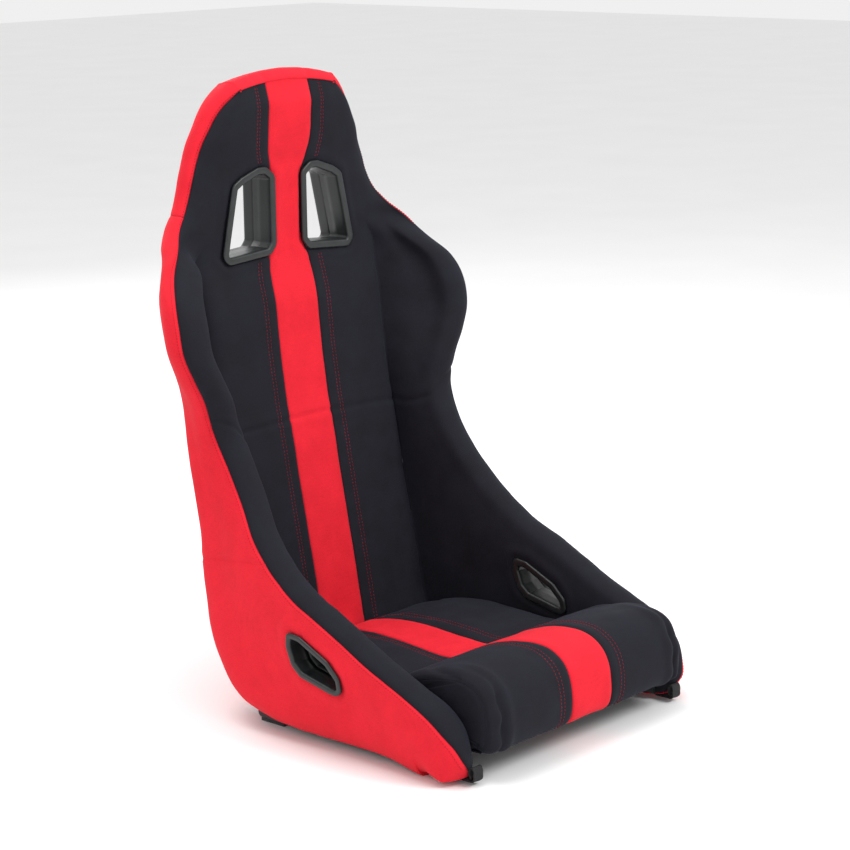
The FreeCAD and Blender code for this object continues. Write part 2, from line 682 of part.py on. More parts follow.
def bezel(prism, flange, sleeve, inset):
    """A moulded ring: a flat flange round the opening and a sleeve into it, both open in the middle."""
    wall = dim("bezel_wall")
    body = prism(0, *flange).fuse(prism(inset - wall, *sleeve)).cut(prism(inset, flange[0] - 60, flange[0] + 60))
    return max_solid(body.removeSplitter())


def make_bezels():
    flange, inset = dim("bezel_flange"), dim("bezel_inset")
    outer_inset = inset - dim("bezel_wall") - dim("sleeve_gap")
    front_y, rear_y = dim("shoulder_front_y"), dim("shoulder_rear_y")
    inner_x, outer_x = dim("lap_inner_x"), dim("lap_outer_x")
    front = bezel(lambda i, a, b: shoulder_prism(1.0, i, a, b), (front_y - flange, front_y),
                  (front_y - flange, 340), inset)
    rear = bezel(lambda i, a, b: shoulder_prism(1.0, i, a, b), (rear_y, rear_y + flange),
                 (334, rear_y + flange), outer_inset)
    inner = bezel(lap_prism, (inner_x - flange, inner_x), (inner_x - flange, 240), inset)
    outer = bezel(lap_prism, (outer_x, outer_x + flange), (234, outer_x + flange), outer_inset)
    for label, shape in (("shoulder_bezel_front", front), ("shoulder_bezel_rear", rear),
                         ("lap_bezel_inner", inner), ("lap_bezel_outer", outer)):
        for name, side in SIDES.items():
            feature(f"{label}_{name}", mirrored(shape, side))


def make_hem_tabs():
    """The webbing tab that ties each cheek's hem down to the frame's front corner."""
    wide, thick = dim("tab_wide"), dim("tab_thick")
    for name, side in SIDES.items():
        y, z = -230.0, FLOOR_Z + 5.4
        low, high = sorted((side * 205, side * (205 + wide)))
        tab = box((low, y, z), (high, y + thick, z + 13)).fuse(box((low, y, z), (high, -199.5, z + thick)))
        feature(f"hem_tab_{name}", tab.removeSplitter())


def check_parts():
    """Every sub-part must have built cleanly."""
    for item in parts:
        bad = {"Invalid", "Error"} & set(item.State)
        if bad or item.Shape.isNull() or not item.Shape.isValid():
            raise RuntimeError(f"{item.Label} did not build: {item.State}")


def main():
    os.makedirs("parts", exist_ok=True)
    rods, rail_rods = make_frame()
    make_mounts()
    make_suspension()
    make_bolsters(rods, rail_rods)
    make_back(rods)
    make_cushion()
    make_bezels()
    make_hem_tabs()
    doc.recompute()
    check_parts()
    for item in parts:
        item.Shape.translated(Vector(0, 0, -FLOOR_Z)).exportStep(f"parts/{item.Label}.step")
    print(len(parts), "sub-parts")


main()
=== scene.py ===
"""The racing bucket seat's upholstery, bezels and finishes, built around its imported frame."""

import json
import math

import bmesh
import bpy
import numpy as np
from mathutils import Matrix, Vector, noise


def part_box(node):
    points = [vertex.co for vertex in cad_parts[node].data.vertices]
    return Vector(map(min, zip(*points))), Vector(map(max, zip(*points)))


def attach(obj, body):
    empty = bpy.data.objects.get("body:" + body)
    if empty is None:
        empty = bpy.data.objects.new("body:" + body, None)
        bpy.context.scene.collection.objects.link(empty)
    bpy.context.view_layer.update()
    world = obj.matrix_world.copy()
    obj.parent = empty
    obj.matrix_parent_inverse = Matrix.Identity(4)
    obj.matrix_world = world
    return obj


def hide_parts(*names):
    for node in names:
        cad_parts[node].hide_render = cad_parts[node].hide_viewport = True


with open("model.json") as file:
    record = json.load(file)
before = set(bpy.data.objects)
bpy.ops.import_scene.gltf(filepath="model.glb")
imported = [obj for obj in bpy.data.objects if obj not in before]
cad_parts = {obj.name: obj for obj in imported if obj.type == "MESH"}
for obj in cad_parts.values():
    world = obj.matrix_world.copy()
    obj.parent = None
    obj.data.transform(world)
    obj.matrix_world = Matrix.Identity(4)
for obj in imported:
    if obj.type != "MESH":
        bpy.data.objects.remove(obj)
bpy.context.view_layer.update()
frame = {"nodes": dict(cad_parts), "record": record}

MM = 0.001
collection = bpy.context.scene.collection

# ---- the seat's surface lines, in mm
# (y, z) of the covered outside in the middle plane, at the rear, and along the rear outer corner.
FRONT_LINE = [(304, 901), (302, 880), (295, 852), (298, 800), (307, 765), (310, 641), (293, 576), (286, 505),
              (276, 435), (268, 400), (250, 300), (232, 215), (210, 97), (207, 60), (206, 34)]
REAR_LINE = [(344, 901), (352, 870), (359, 805), (360, 772), (358, 632), (347, 576), (337, 480), (331, 416),
             (317, 338), (295, 237), (277, 157), (260, 99), (240, 62), (226, 45), (216, 36), (-300, 36)]
CORNER_LINE = [(350, 720), (344, 674), (328, 640), (310, 593), (298, 524), (297, 480), (296, 416), (284, 338),
               (264, 237), (249, 157), (231, 114), (210, 82), (190, 58), (168, 46), (146, 40), (121, 35),
               (93, 31), (-64, 31), (-107, 27), (-149, 19), (-190, 25)]
REAR_ROUND = 13.0                 # how far the rear surface comes forward between its middle and the corner
DATUM = 18.0                      # the lines above are drawn from 18 mm under the floor holes

# Middle of the rolled edge of the bolster: x, y, z and the roll's radius.
RIM = [(205, 309, 680, 19), (211, 305, 665, 22), (229, 287, 638, 27), (254, 258, 604, 29), (262, 243, 570, 30),
       (262, 236, 536, 30), (248, 232, 500, 30), (231, 232, 468, 30), (217, 232, 424, 29), (212, 208, 368, 28),
       (215, 182, 325, 28), (224, 151, 280, 28), (230, 116, 244, 28), (235, 67, 210, 28), (237, 12, 187, 27),
       (237, -38, 164, 27), (237, -75, 145, 27), (237, -150, 113, 27), (234, -183, 92, 28), (232, -197, 72, 28),
       (231, -202, 50, 26), (229, -204, 28, 22), (228, -204, 18, 20)]
PIVOT = (-40.0, 430.0)            # the section planes fan about this line between backrest and seat
FRONT_PIVOT = (-150.0, 20.0)      # and about this one where the cheek turns down
STRIPE = 42.0                     # half-width of the red stripe
STITCH = 22.0                     # from the stripe's edge to the twin stitching
HEAD_SEAM_Z = 705                 # height of the seam between the red sides and the head band
LAP = [(61, 181), (36, 178), (-15, 154), (-36, 134), (-40, 116), (-31, 109), (-18, 110), (36, 122), (52, 135),
       (62, 160)]
SHOULDER = [(26, 650), (38, 636), (122, 630), (132, 642), (109, 742), (92, 752), (60, 763), (44, 763), (26, 750)]


def hit(origin, angle, line):
    """Distance from origin along an angle (degrees above +Y) to a (y, z) line."""
    dy, dz = math.cos(math.radians(angle)), math.sin(math.radians(angle))
    best = None
    for (ay, az), (by, bz) in zip(line, line[1:]):
        ey, ez = by - ay, bz - az
        det = ey * dz - dy * ez
        if abs(det) < 1e-9:
            continue
        py, pz = ay - origin[0], az - origin[1]
        reach = (ey * pz - py * ez) / det
        share = (dy * pz - dz * py) / det
        if -1e-6 <= share <= 1 + 1e-6 and reach > 1 and (best is None or reach < best):
            best = reach
    return best


def level(line, z):
    """y of a (y, z) line at a height."""
    ys, zs = zip(*sorted(line, key=lambda p: p[1]))
    return float(np.interp(z, zs, ys))


def rim_at(origin, angle):
    """x, reach and radius of the rolled edge where a section plane cuts it."""
    for (ax, ay, az, ar), (bx, by, bz, br) in zip(RIM, RIM[1:]):
        reach = hit(origin, angle, [(ay, az), (by, bz)])
        if reach is None:
            continue
        y = origin[0] + reach * math.cos(math.radians(angle))
        z = origin[1] + reach * math.sin(math.radians(angle))
        t = math.hypot(y - ay, z - az) / math.hypot(by - ay, bz - az)
        return ax + t * (bx - ax), reach, ar + t * (br - ar)
    raise ValueError(f"no rim at {origin} {angle}")


def stripe_half(z):
    """The red stripe's half-width, drawn in between the two shoulder slots."""
    return float(np.interp(z, (590, 622, 640, 652, 745, 757, 775, 800), (42, 41, 36, 28, 28, 31, 38, 42)))


# Section planes of the bolster from the foot of the cheek up: origin, angle, inner half-width, side, corner.
PLANES = []
for phi, side, corner in ((172, 246, 238), (158, 252, 242), (143, 256, 245), (128, 259, 247), (112, 261, 249)):
    c, s = math.cos(math.radians(phi)), math.sin(math.radians(phi))
    PLANES.append(((FRONT_PIVOT[0] + 200 * c, FRONT_PIVOT[1] + 200 * s), phi - 180.0, 208, side, corner))
for y in (-150, -112, -75, -40):
    PLANES.append(((float(y), 430.0), -90.0, 208, 262, 250))
for angle, inner, side, corner in ((-83, 208, 262, 250), (-75, 207, 262, 251), (-67, 202, 262, 252),
                                   (-60.5, 193, 261, 252), (-57.2, 188, 260, 252), (-53, 181, 258, 251),
                                   (-47, 180, 255, 247), (-38, 180, 249, 242), (-26, 180, 242, 236),
                                   (-13, 180, 240, 235)):
    PLANES.append((PIVOT, float(angle), inner, side, corner))
SEAM_TURN = ((-68, -52, -37, -22, -8), (330, 322, 301, 279, 204))   # the rim seam runs inwards at the foot
BACK_START = 13                   # the plane at -57.2 degrees, through the lower rear edge of the back
for z, side, corner in ((430, 243, 236), (468, 252, 241), (500, 266, 249), (536, 279, 258), (570, 280, 260),
                        (604, 272, 252), (638, 247, 231)):
    PLANES.append(((-40.0, float(z)), 0.0, 180, side, corner))

# Section rows of the head: height in the middle, then the front seam's x, z and y, how far the edge stands
# out beyond the seam, and the edge's outward direction in XZ.
HEAD_ROWS = [
    (666, 229, 666, 289, 1, 12), (690, 207, 690, 309, 1.5, 14), (713, 189, 712, 317, 4, 14),
    (737, 177, 735, 320, 6, 15), (762, 169, 759, 320, 6, 17), (788, 160.5, 783, 320, 6, 22),
    (812, 151.5, 804, 318, 7, 26), (834, 141, 822, 315, 8.5, 31), (852, 130.5, 839, 312, 10.5, 37),
    (866, 119, 853, 308, 11.5, 44), (876, 107, 864, 303, 12, 51), (883, 93, 873, 299, 13, 58),
]


def bolster_section(plane):
    """Control points of one section through backrest and bolster, from the front's middle to the rear's."""
    origin, angle, inner, side, corner = plane
    x, mid, r = rim_at(origin, angle)
    if origin[0] < -150.5:
        under = 200 - min(2.5 / math.sin(math.radians(angle + 180)), 16.0)
        rear, crease = under, max(under - 8, mid + 3)
    else:
        rear = hit(origin, angle, CORNER_LINE)
        under = hit(origin, angle, REAR_LINE)
        crease = hit(origin, angle, FRONT_LINE[:13]) or under - 30
        crease = min(crease, under - 30)
    slope = min(16.0, 0.3 * (rear - mid))
    taper = REAR_ROUND * float(np.interp(origin[1] + under * math.sin(math.radians(angle)), (45, 130), (0, 1)))
    z_front = origin[1] + crease * math.sin(math.radians(angle))
    stripe = stripe_half(z_front)
    fade = float(np.interp(z_front, (600, 655), (1, 0)))
    seam = math.radians(float(np.interp(angle, *SEAM_TURN)) if origin[0] < -150.5 else 330.0)

    def on_roll(share):
        turn = math.pi + share * (seam - math.pi)
        return (x + r * math.cos(turn), mid + r * math.sin(turn))

    reach = [(0, crease), (stripe, crease), (stripe + STITCH, crease), (0.5 * (stripe + STITCH + 172), crease),
             (0.955 * inner, crease + fade), (inner, crease + 7 * fade),
             (0.52 * inner + 0.48 * (x - r) - 3 * fade, 0.5 * (crease + mid) + 4 * fade),
             (x - r, mid), on_roll(0.3), on_roll(0.6), on_roll(0.8), on_roll(1.0), (x + r, mid + 4),
             (side, mid + 0.45 * (rear - mid)), (corner, rear - slope), (corner - 1.2 * slope, rear + 1),
             (inner, under - taper), (0.5 * inner, under - 0.28 * taper), (0, under)]
    c, s = math.cos(math.radians(angle)), math.sin(math.radians(angle))
    return [(px, origin[0] + d * c, origin[1] + d * s) for px, d in reach]


def head_section(row):
    """Control points of one section through the head, in the same order."""
    z_mid, xs, zs, ys, out, tilt = row
    nx, nz = math.cos(math.radians(tilt)), math.sin(math.radians(tilt))
    front = level(FRONT_LINE, zs)
    rear = level(REAR_LINE, zs)

    def z_at(x):
        return zs + (z_mid - zs) * (1 - (x / xs) ** 2)

    stripe = stripe_half(z_mid)
    points = []
    stitch = stripe + min(STITCH, 0.42 * (xs - stripe))
    across = [(0, 0), (stripe, 0), (stitch, 0)]
    across += [(stitch + reach * (xs - stitch), share) for reach, share in (
        (0.35, 0), (0.55, 0.01), (0.62, 0.02), (0.70, 0.05), (0.785, 0.13), (0.86, 0.28), (0.92, 0.5), (0.965, 0.75),
        (1, 1))]
    for x, share in across:
        y = level(FRONT_LINE, z_at(x))
        points.append((x, y + share * (ys - front), z_at(x)))
    inset = float(np.interp(zs, (660, 700, 780, 870), (15, 10, 4, 6)))
    drop = float(np.interp(zs, (664, 690), (12, 0)))
    for push, y in ((out, ys + 10), (out + 1 - 0.35 * inset, 0.5 * (ys + rear) + 3 - 0.3 * drop),
                    (out - 1.5 - 0.85 * inset, rear - 9 - drop), (out - 10 - 1.15 * inset, rear - 1.5 - drop)):
        points.append((xs + nx * push, y, zs + nz * push))
    for share in (0.75, 0.38, 0):
        points.append((share * xs, level(REAR_LINE, z_at(share * xs)), z_at(share * xs)))
    return points


def spline(points, steps, knots=None):
    """A smooth run through an array of points along axis 0, with a number of steps for each interval."""
    points = np.asarray(points, float)
    n = len(points)
    if knots is None:
        lengths = np.linalg.norm(np.diff(points, axis=0).reshape(n - 1, -1), axis=1)
        knots = np.concatenate([[0], np.cumsum(np.maximum(lengths, 1e-6) ** 0.8)])
    gaps = np.diff(knots)
    slopes = np.diff(points, axis=0) / gaps.reshape((-1,) + (1,) * (points.ndim - 1))
    tangents = np.empty_like(points)
    tangents[0], tangents[-1] = slopes[0], slopes[-1]
    for i in range(1, n - 1):
        a, b = gaps[i - 1], gaps[i]
        tangents[i] = (slopes[i - 1] * b + slopes[i] * a) / (a + b)
    out = []
    for i in range(n - 1):
        for k in range(steps[i] + (i == n - 2)):
            t = k / steps[i]
            h = gaps[i]
            out.append((2 * t ** 3 - 3 * t ** 2 + 1) * points[i] + (t ** 3 - 2 * t ** 2 + t) * h * tangents[i]
                       + (3 * t ** 2 - 2 * t ** 3) * points[i + 1] + (t ** 3 - t ** 2) * h * tangents[i + 1])
    return np.array(out)


COLUMN_STEPS = [13, 7, 20, 13, 4, 14, 16, 7, 9, 6, 6, 8, 16, 16, 7, 20, 26, 26]
MARK = [0]
for n in COLUMN_STEPS:
    MARK.append(MARK[-1] + n)
LAST = MARK[18]


def grid_of(sections):
    """A fine grid over the control sections, creased at the crease and at the rear corner of the foam."""
    rows = []
    for section in sections:
        parts = []
        for a, b in ((0, 5), (5, 16), (16, 18)):
            run = spline(section[a:b + 1], COLUMN_STEPS[a:b])
            parts.append(run if b == 18 else run[:-1])
        rows.append(np.concatenate(parts))
    rows = np.array(rows)
    lengths = np.linalg.norm(np.diff(rows, axis=0), axis=2)[:, MARK[5]:MARK[15]].mean(axis=1)
    steps = [max(3, int(round(s / 3.3))) for s in lengths]
    knots = np.concatenate([[0], np.cumsum(lengths ** 0.8)])
    return spline(rows, steps, knots), np.concatenate([[0], np.cumsum(steps)])


SECTIONS = [bolster_section(p) for p in PLANES] + [head_section(r) for r in HEAD_ROWS]
grid, ROW = grid_of(SECTIONS)
ROWS = len(grid)
BACK = int(ROW[BACK_START])       # the first row that goes right across the back
RIM_SEAM = MARK[11]


def row_at(column, z):
    """The row, above the seat, nearest to a height in a column."""
    return BACK + int(np.argmin(abs(grid[BACK:, column, 2] - z)))


def normals_of(block):
    along_row = np.gradient(block, axis=1)
    along_column = np.gradient(block, axis=0)
    n = np.cross(along_row, along_column)
    return n / np.maximum(np.linalg.norm(n, axis=2, keepdims=True), 1e-9)


def bell(value, width):
    return np.exp(-(value / width) ** 2)


def polygon_distance(points, polygon):
    """Signed distance of 2-D points to a polygon, negative inside, and the nearest points on it."""
    points = np.asarray(points, float)
    best = np.full(len(points), 1e9)
    nearest = np.zeros_like(points)
    inside = np.zeros(len(points), bool)
    loop = np.asarray(polygon, float)
    for a, b in zip(loop, np.roll(loop, -1, axis=0)):
        edge = b - a
        t = np.clip(((points - a) @ edge) / (edge @ edge), 0, 1)
        foot = a + t[:, None] * edge
        d = np.linalg.norm(points - foot, axis=1)
        closer = d < best
        best[closer], nearest[closer] = d[closer], foot[closer]
        crosses = (a[1] > points[:, 1]) != (b[1] > points[:, 1])
        with np.errstate(divide="ignore", invalid="ignore"):
            at = a[0] + (points[:, 1] - a[1]) * edge[0] / (edge[1] if edge[1] else 1e-12)
        inside ^= crosses & (points[:, 0] < at)
    return np.where(inside, -best, best), nearest


def inset_loop(polygon, amount):
    """A closed outline moved inwards, corner by corner."""
    loop = np.asarray(polygon, float)
    nxt = np.roll(loop, -1, axis=0)
    area = np.sum(loop[:, 0] * nxt[:, 1] - nxt[:, 0] * loop[:, 1])
    sign = 1.0 if area > 0 else -1.0
    edge = nxt - loop
    edge /= np.linalg.norm(edge, axis=1, keepdims=True)
    inward = sign * np.stack([-edge[:, 1], edge[:, 0]], axis=1)
    out = []
    for i in range(len(loop)):
        n0, n1 = inward[i - 1], inward[i]
        out.append(loop[i] + (n0 + n1) * amount / (1 + n0 @ n1))
    return np.array(out)


def rounded_loop(polygon, amount, radius, arc=7, run=5):
    """An outline moved inwards, its corners rounded, always with the same number of points."""
    loop = inset_loop(polygon, amount)
    n = len(loop)
    corners = []
    for i in range(n):
        before, here, after = loop[i - 1], loop[i], loop[(i + 1) % n]
        u, v = before - here, after - here
        lu, lv = np.linalg.norm(u), np.linalg.norm(v)
        u, v = u / lu, v / lv
        half = 0.5 * math.acos(max(-1, min(1, float(u @ v))))
        back = min(max(radius - amount, 3.5) / math.tan(half), 0.46 * lu, 0.46 * lv)
        a, b = here + u * back, here + v * back
        ts = np.linspace(0, 1, arc)[:, None]
        corners.append((1 - ts) ** 2 * a + 2 * ts * (1 - ts) * here + ts ** 2 * b)
    points = []
    for i in range(n):
        points.extend(corners[i])
        a, b = corners[i][-1], corners[(i + 1) % n][0]
        points.extend(a + (b - a) * t for t in np.linspace(0, 1, run + 1)[1:-1])
    return np.array(points)


# ---- how the cloth lies on its foam
def seat_seam_z(x):
    """Height of the seam across the backrest, which climbs on to the bolsters."""
    return np.interp(x, (0, 150, 180, 215, 262), (403, 399, 396, 430, 452))


def side_seam_z(y):
    """Height of the seam across the red side."""
    return np.interp(y, (90, 140, 290), (262, 258, 237))


def soften(block):
    """The grid with its seams drawn in, its edges puffed and its cloth a little uneven."""
    n = normals_of(block)
    columns = np.arange(block.shape[1])[None, :] + 0.0
    x, y, z = block[..., 0], block[..., 1], block[..., 2]
    rows = np.arange(block.shape[0])[:, None] + 0.0
    move = np.zeros(x.shape)
    move -= 1.9 * bell(columns - RIM_SEAM, 1.1) - 0.5 * bell(abs(columns - RIM_SEAM) - 4, 2.2)
    above = (rows > BACK + 4) * 1.0
    move -= above * (1.5 * bell(columns - MARK[1], 1.1) - 0.4 * bell(abs(columns - MARK[1]) - 4, 2.0))
    move -= above * 0.5 * bell(columns - MARK[2], 1.8)
    on_back = above * (columns < MARK[11])
    seam = bell(z - seat_seam_z(x), 2.6) * on_back
    puff = bell(abs(z - seat_seam_z(x)) - 9, 6.0) * on_back
    move -= 1.5 * seam - 0.5 * puff
    side = (columns > RIM_SEAM) * (columns < MARK[15]) * (y > 60)
    move -= side * (1.4 * bell(z - side_seam_z(y), 2.6) - 0.4 * bell(abs(z - side_seam_z(y)) - 8, 5.0))
    head_seam = (columns > RIM_SEAM) * (columns < MARK[15]) * (z > 600)
    move -= head_seam * 0.9 * bell(z - HEAD_SEAM_Z, 2.4)
    panel = np.sin(np.pi * np.clip((columns - MARK[1]) / (MARK[4] - MARK[1]), 0, 1)) ** 1.2
    fullness = np.interp(z, (150, 420, 600), (1.4, 1, 0.3))
    move += (columns < MARK[4]) * (columns > MARK[1]) * above * 2.0 * panel * fullness
    flat = block.reshape(-1, 3)
    front = (columns < RIM_SEAM) * above
    for polygon, axes, where in ((SHOULDER, (0, 2), front + (columns > MARK[15])),
                                 (LAP, (1, 2), (z < 240) * 1.0)):
        d, _ = polygon_distance(flat[:, axes], polygon)
        d = d.reshape(x.shape)
        move += where * (1.6 * bell(d - 9, 6.5) - 1.2 * (d < 2))
    uneven = np.array([rumple(p) for p in flat]).reshape(x.shape)
    return block + n * (move + uneven)[..., None]


def rumple(p):
    """Unevenness of the cloth in mm at a point: broad soft hollows and a few drawn lines."""
    q = Vector((p[0], p[1], p[2]))
    broad = noise.noise(q * 0.014) * 1.1 + noise.noise(q * 0.035 + Vector((7, 3, 1))) * 0.5
    drawn = noise.noise(Vector((q.x * 0.03 + q.z * 0.012, q.y * 0.05, q.z * 0.016 - q.x * 0.02))) * 0.5
    return broad + drawn


grid = soften(grid)


# ---- building meshes
class Cloth:
    """A patch of cloth gathered from named grid points, so that neighbours share their edges."""

    def __init__(self):
        self.keys, self.points, self.faces = {}, [], []

    def vertex(self, key, point):
        if key not in self.keys:
            self.keys[key] = len(self.points)
            self.points.append(point)
        return self.keys[key]

    def quad(self, corners, flip):
        ids = [self.vertex(k, p) for k, p in corners]
        if len(set(ids)) < 3:
            return
        ids = list(dict.fromkeys(ids))
        self.faces.append(ids[::-1] if flip else ids)


def mesh_object(name, points, faces, material):
    """A mesh from points in mm, moved down to the floor holes' plane and kept above it."""
    mesh = bpy.data.meshes.new(name)
    metres = [(float(x) * MM, float(y) * MM, max(0.0, float(z) - DATUM) * MM) for x, y, z in points]
    mesh.from_pydata(metres, [], faces)
    mesh.validate()
    mesh.materials.append(material)
    mesh.polygons.foreach_set("use_smooth", [True] * len(mesh.polygons))
    obj = bpy.data.objects.new(name, mesh)
    collection.objects.link(obj)
    return obj


def bake(obj):
    """Applies an object's modifiers."""
    graph = bpy.context.evaluated_depsgraph_get()
    mesh = bpy.data.meshes.new_from_object(obj.evaluated_get(graph))
    old = obj.data
    obj.modifiers.clear()
    obj.data = mesh
    bpy.data.meshes.remove(old)
    mesh.name = obj.name
    return obj


def thicken(obj, mm=2.2):
    solid = obj.modifiers.new("thickness", "SOLIDIFY")
    solid.thickness = mm * MM
    solid.offset = -1
    return bake(obj)


def settle(obj, body, slot, fill, *nodes):
    """Says what a piece rides on and hides the parts it stands for; its finish slot is not used."""
    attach(obj, body)
    if nodes:
        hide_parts(*nodes)
    return obj


def grid_key(side, r, c):
    return ("g", side if 0 < c < LAST else 0, r, c)


def grid_point(side, r, c):
    x, y, z = grid[r, c]
    return (side * x if 0 < c < LAST else 0.0, y, z)


def add_grid(cloth, side, r0, r1, c0, c1, skip=None):
    for r in range(r0, r1):
        for c in range(c0, c1):
            if skip is not None and skip[r, c]:
                continue
            corners = [(grid_key(side, i, j), grid_point(side, i, j))
                       for i, j in ((r, c), (r, c + 1), (r + 1, c + 1), (r + 1, c))]
            cloth.quad(corners, side < 0)


def slot_mask(polygon, axes, c0, c1, z0, z1, amount):
    """Faces of the grid inside a belt slot's outline, whose edge vertices are drawn to the outline."""
    d, nearest = polygon_distance(grid.reshape(-1, 3)[:, axes], inset_loop(polygon, amount))
    d = d.reshape(grid.shape[:2])
    nearest = nearest.reshape(grid.shape[:2] + (2,))
    z = grid[..., 2]
    columns = np.arange(grid.shape[1])[None, :]
    allowed = (columns >= c0) & (columns <= c1) & (z > z0) & (z < z1)
    centre = 0.25 * (d[:-1, :-1] + d[1:, :-1] + d[:-1, 1:] + d[1:, 1:])
    ok = allowed[:-1, :-1] & allowed[1:, :-1] & allowed[:-1, 1:] & allowed[1:, 1:]
    mask = (centre < 0) & ok
    touched = np.zeros(grid.shape[:2], bool)
    kept = np.zeros(grid.shape[:2], bool)
    for i in (0, 1):
        for j in (0, 1):
            h, w = mask.shape
            touched[i:h + i, j:w + j] |= mask
            kept[i:h + i, j:w + j] |= ~mask
    edge = touched & kept
    for k, axis in enumerate(axes):
        grid[..., axis][edge] = nearest[..., k][edge]
    return mask


holes = np.zeros((ROWS - 1, LAST), bool)
holes |= slot_mask(SHOULDER, (0, 2), 0, MARK[6], 560, 790, 5)
holes |= slot_mask(SHOULDER, (0, 2), MARK[15], LAST, 560, 790, 5)
holes |= slot_mask(LAP, (1, 2), MARK[5], MARK[9], 60, 230, 5)
holes |= slot_mask(LAP, (1, 2), MARK[11], MARK[15], 60, 230, 5)

HEAD_SEAM = row_at(RIM_SEAM, HEAD_SEAM_Z)

# The cap over the crown carries the head band from one side to the other.
DEPTH = MARK[15] - MARK[11]
edge_row = grid[-1, MARK[11]:MARK[15] + 1]
tilt = math.radians(HEAD_ROWS[-1][5])
stand = (edge_row - edge_row[0]) @ np.array([math.cos(tilt), 0, math.sin(tilt)])
share_back = (edge_row[:, 1] - edge_row[0, 1]) / (edge_row[-1, 1] - edge_row[0, 1])


def cap_point(j, k):
    front = grid[-1, j]
    s = front[0] / grid[-1, RIM_SEAM, 0]
    turn = math.radians(90) - (math.radians(90) - tilt) * s
    rise = stand[k] * (1 + 0.14 * (1 - s * s))
    rear = level(REAR_LINE, front[2])
    y = front[1] + share_back[k] * (rear - front[1])
    y = (1 - s ** 6) * y + s ** 6 * edge_row[k][1]
    return (front[0] + rise * math.cos(turn), y, front[2] + rise * math.sin(turn))


def cap_key(side, j, k):
    if k == 0:
        return grid_key(side, ROWS - 1, j)
    if j == RIM_SEAM:
        return grid_key(side, ROWS - 1, MARK[11] + k)
    return ("c", side if j else 0, j, k)


def add_cap(cloth, side):
    def corner(j, k):
        key = cap_key(side, j, k)
        if key[0] == "g":
            return key, grid_point(side, key[2], key[3])
        x, y, z = cap_point(j, k)
        return key, (side * x if j else 0.0, y, z)

    for j in range(RIM_SEAM):
        for k in range(DEPTH):
            cloth.quad([corner(j, k), corner(j + 1, k), corner(j + 1, k + 1), corner(j, k + 1)], side < 0)


WALL = 8                          # steps of the cheek's inner wall below the crease


def wall_point(r, k):
    """Between the inner edge of the cheek's underside (k = 0) and the foot of its inner face (k = WALL)."""
    t = k / WALL
    return tuple((1 - t) * grid[r, MARK[16]] + t * grid[r, MARK[5]])


def wall_corner(side, r, k):
    if k == 0:
        return grid_key(side, r, MARK[16]), grid_point(side, r, MARK[16])
    if k == WALL:
        return grid_key(side, r, MARK[5]), grid_point(side, r, MARK[5])
    x, y, z = wall_point(r, k)
    return ("w", side, r, k), (side * x, y, z)


def add_wall(cloth, side):
    for r in range(BACK):
        for k in range(WALL):
            cloth.quad([wall_corner(side, r, k), wall_corner(side, r, k + 1), wall_corner(side, r + 1, k + 1),
                        wall_corner(side, r + 1, k)], side < 0)


def add_foot(cloth, side):
    """The rounded end of the cheek, turned under at the floor."""
    ring = [(grid_key(side, 0, c), grid_point(side, 0, c)) for c in range(MARK[5], MARK[16] + 1)]
    ring += [wall_corner(side, 0, k) for k in range(1, WALL)]
    centre = np.mean([p for _, p in ring], axis=0)
    down = np.array([0.0, 0.12, -1.0])
    levels = ((0.95, 1.0), (0.86, 1.8), (0.6, 2.4), (0.25, 2.6))
    rings, n = [ring], len(ring)
    for level_no, (scale, drop) in enumerate(levels, 1):
        rings.append([(("f", side, level_no, i), tuple(centre + (np.array(p) - centre) * scale + down * drop))
                      for i, (_, p) in enumerate(ring)])
    for lower, upper in zip(rings[1:], rings):
        for i in range(n):
            j = (i + 1) % n
            cloth.quad([lower[i], lower[j], upper[j], upper[i]], side < 0)
    middle = (("f", side, 9, 0), tuple(centre + down * levels[-1][1]))
    for i in range(n):
        cloth.quad([middle, rings[-1][(i + 1) % n], rings[-1][i]], side < 0)


# ---- materials
def linear(r, g, b):
    """A colour from display values of 0 to 255."""
    return tuple(((c / 255 + 0.055) / 1.055) ** 2.4 if c > 10 else c / 255 / 12.92 for c in (r, g, b)) + (1.0,)


def grey(value):
    return (value, value, value, 1)


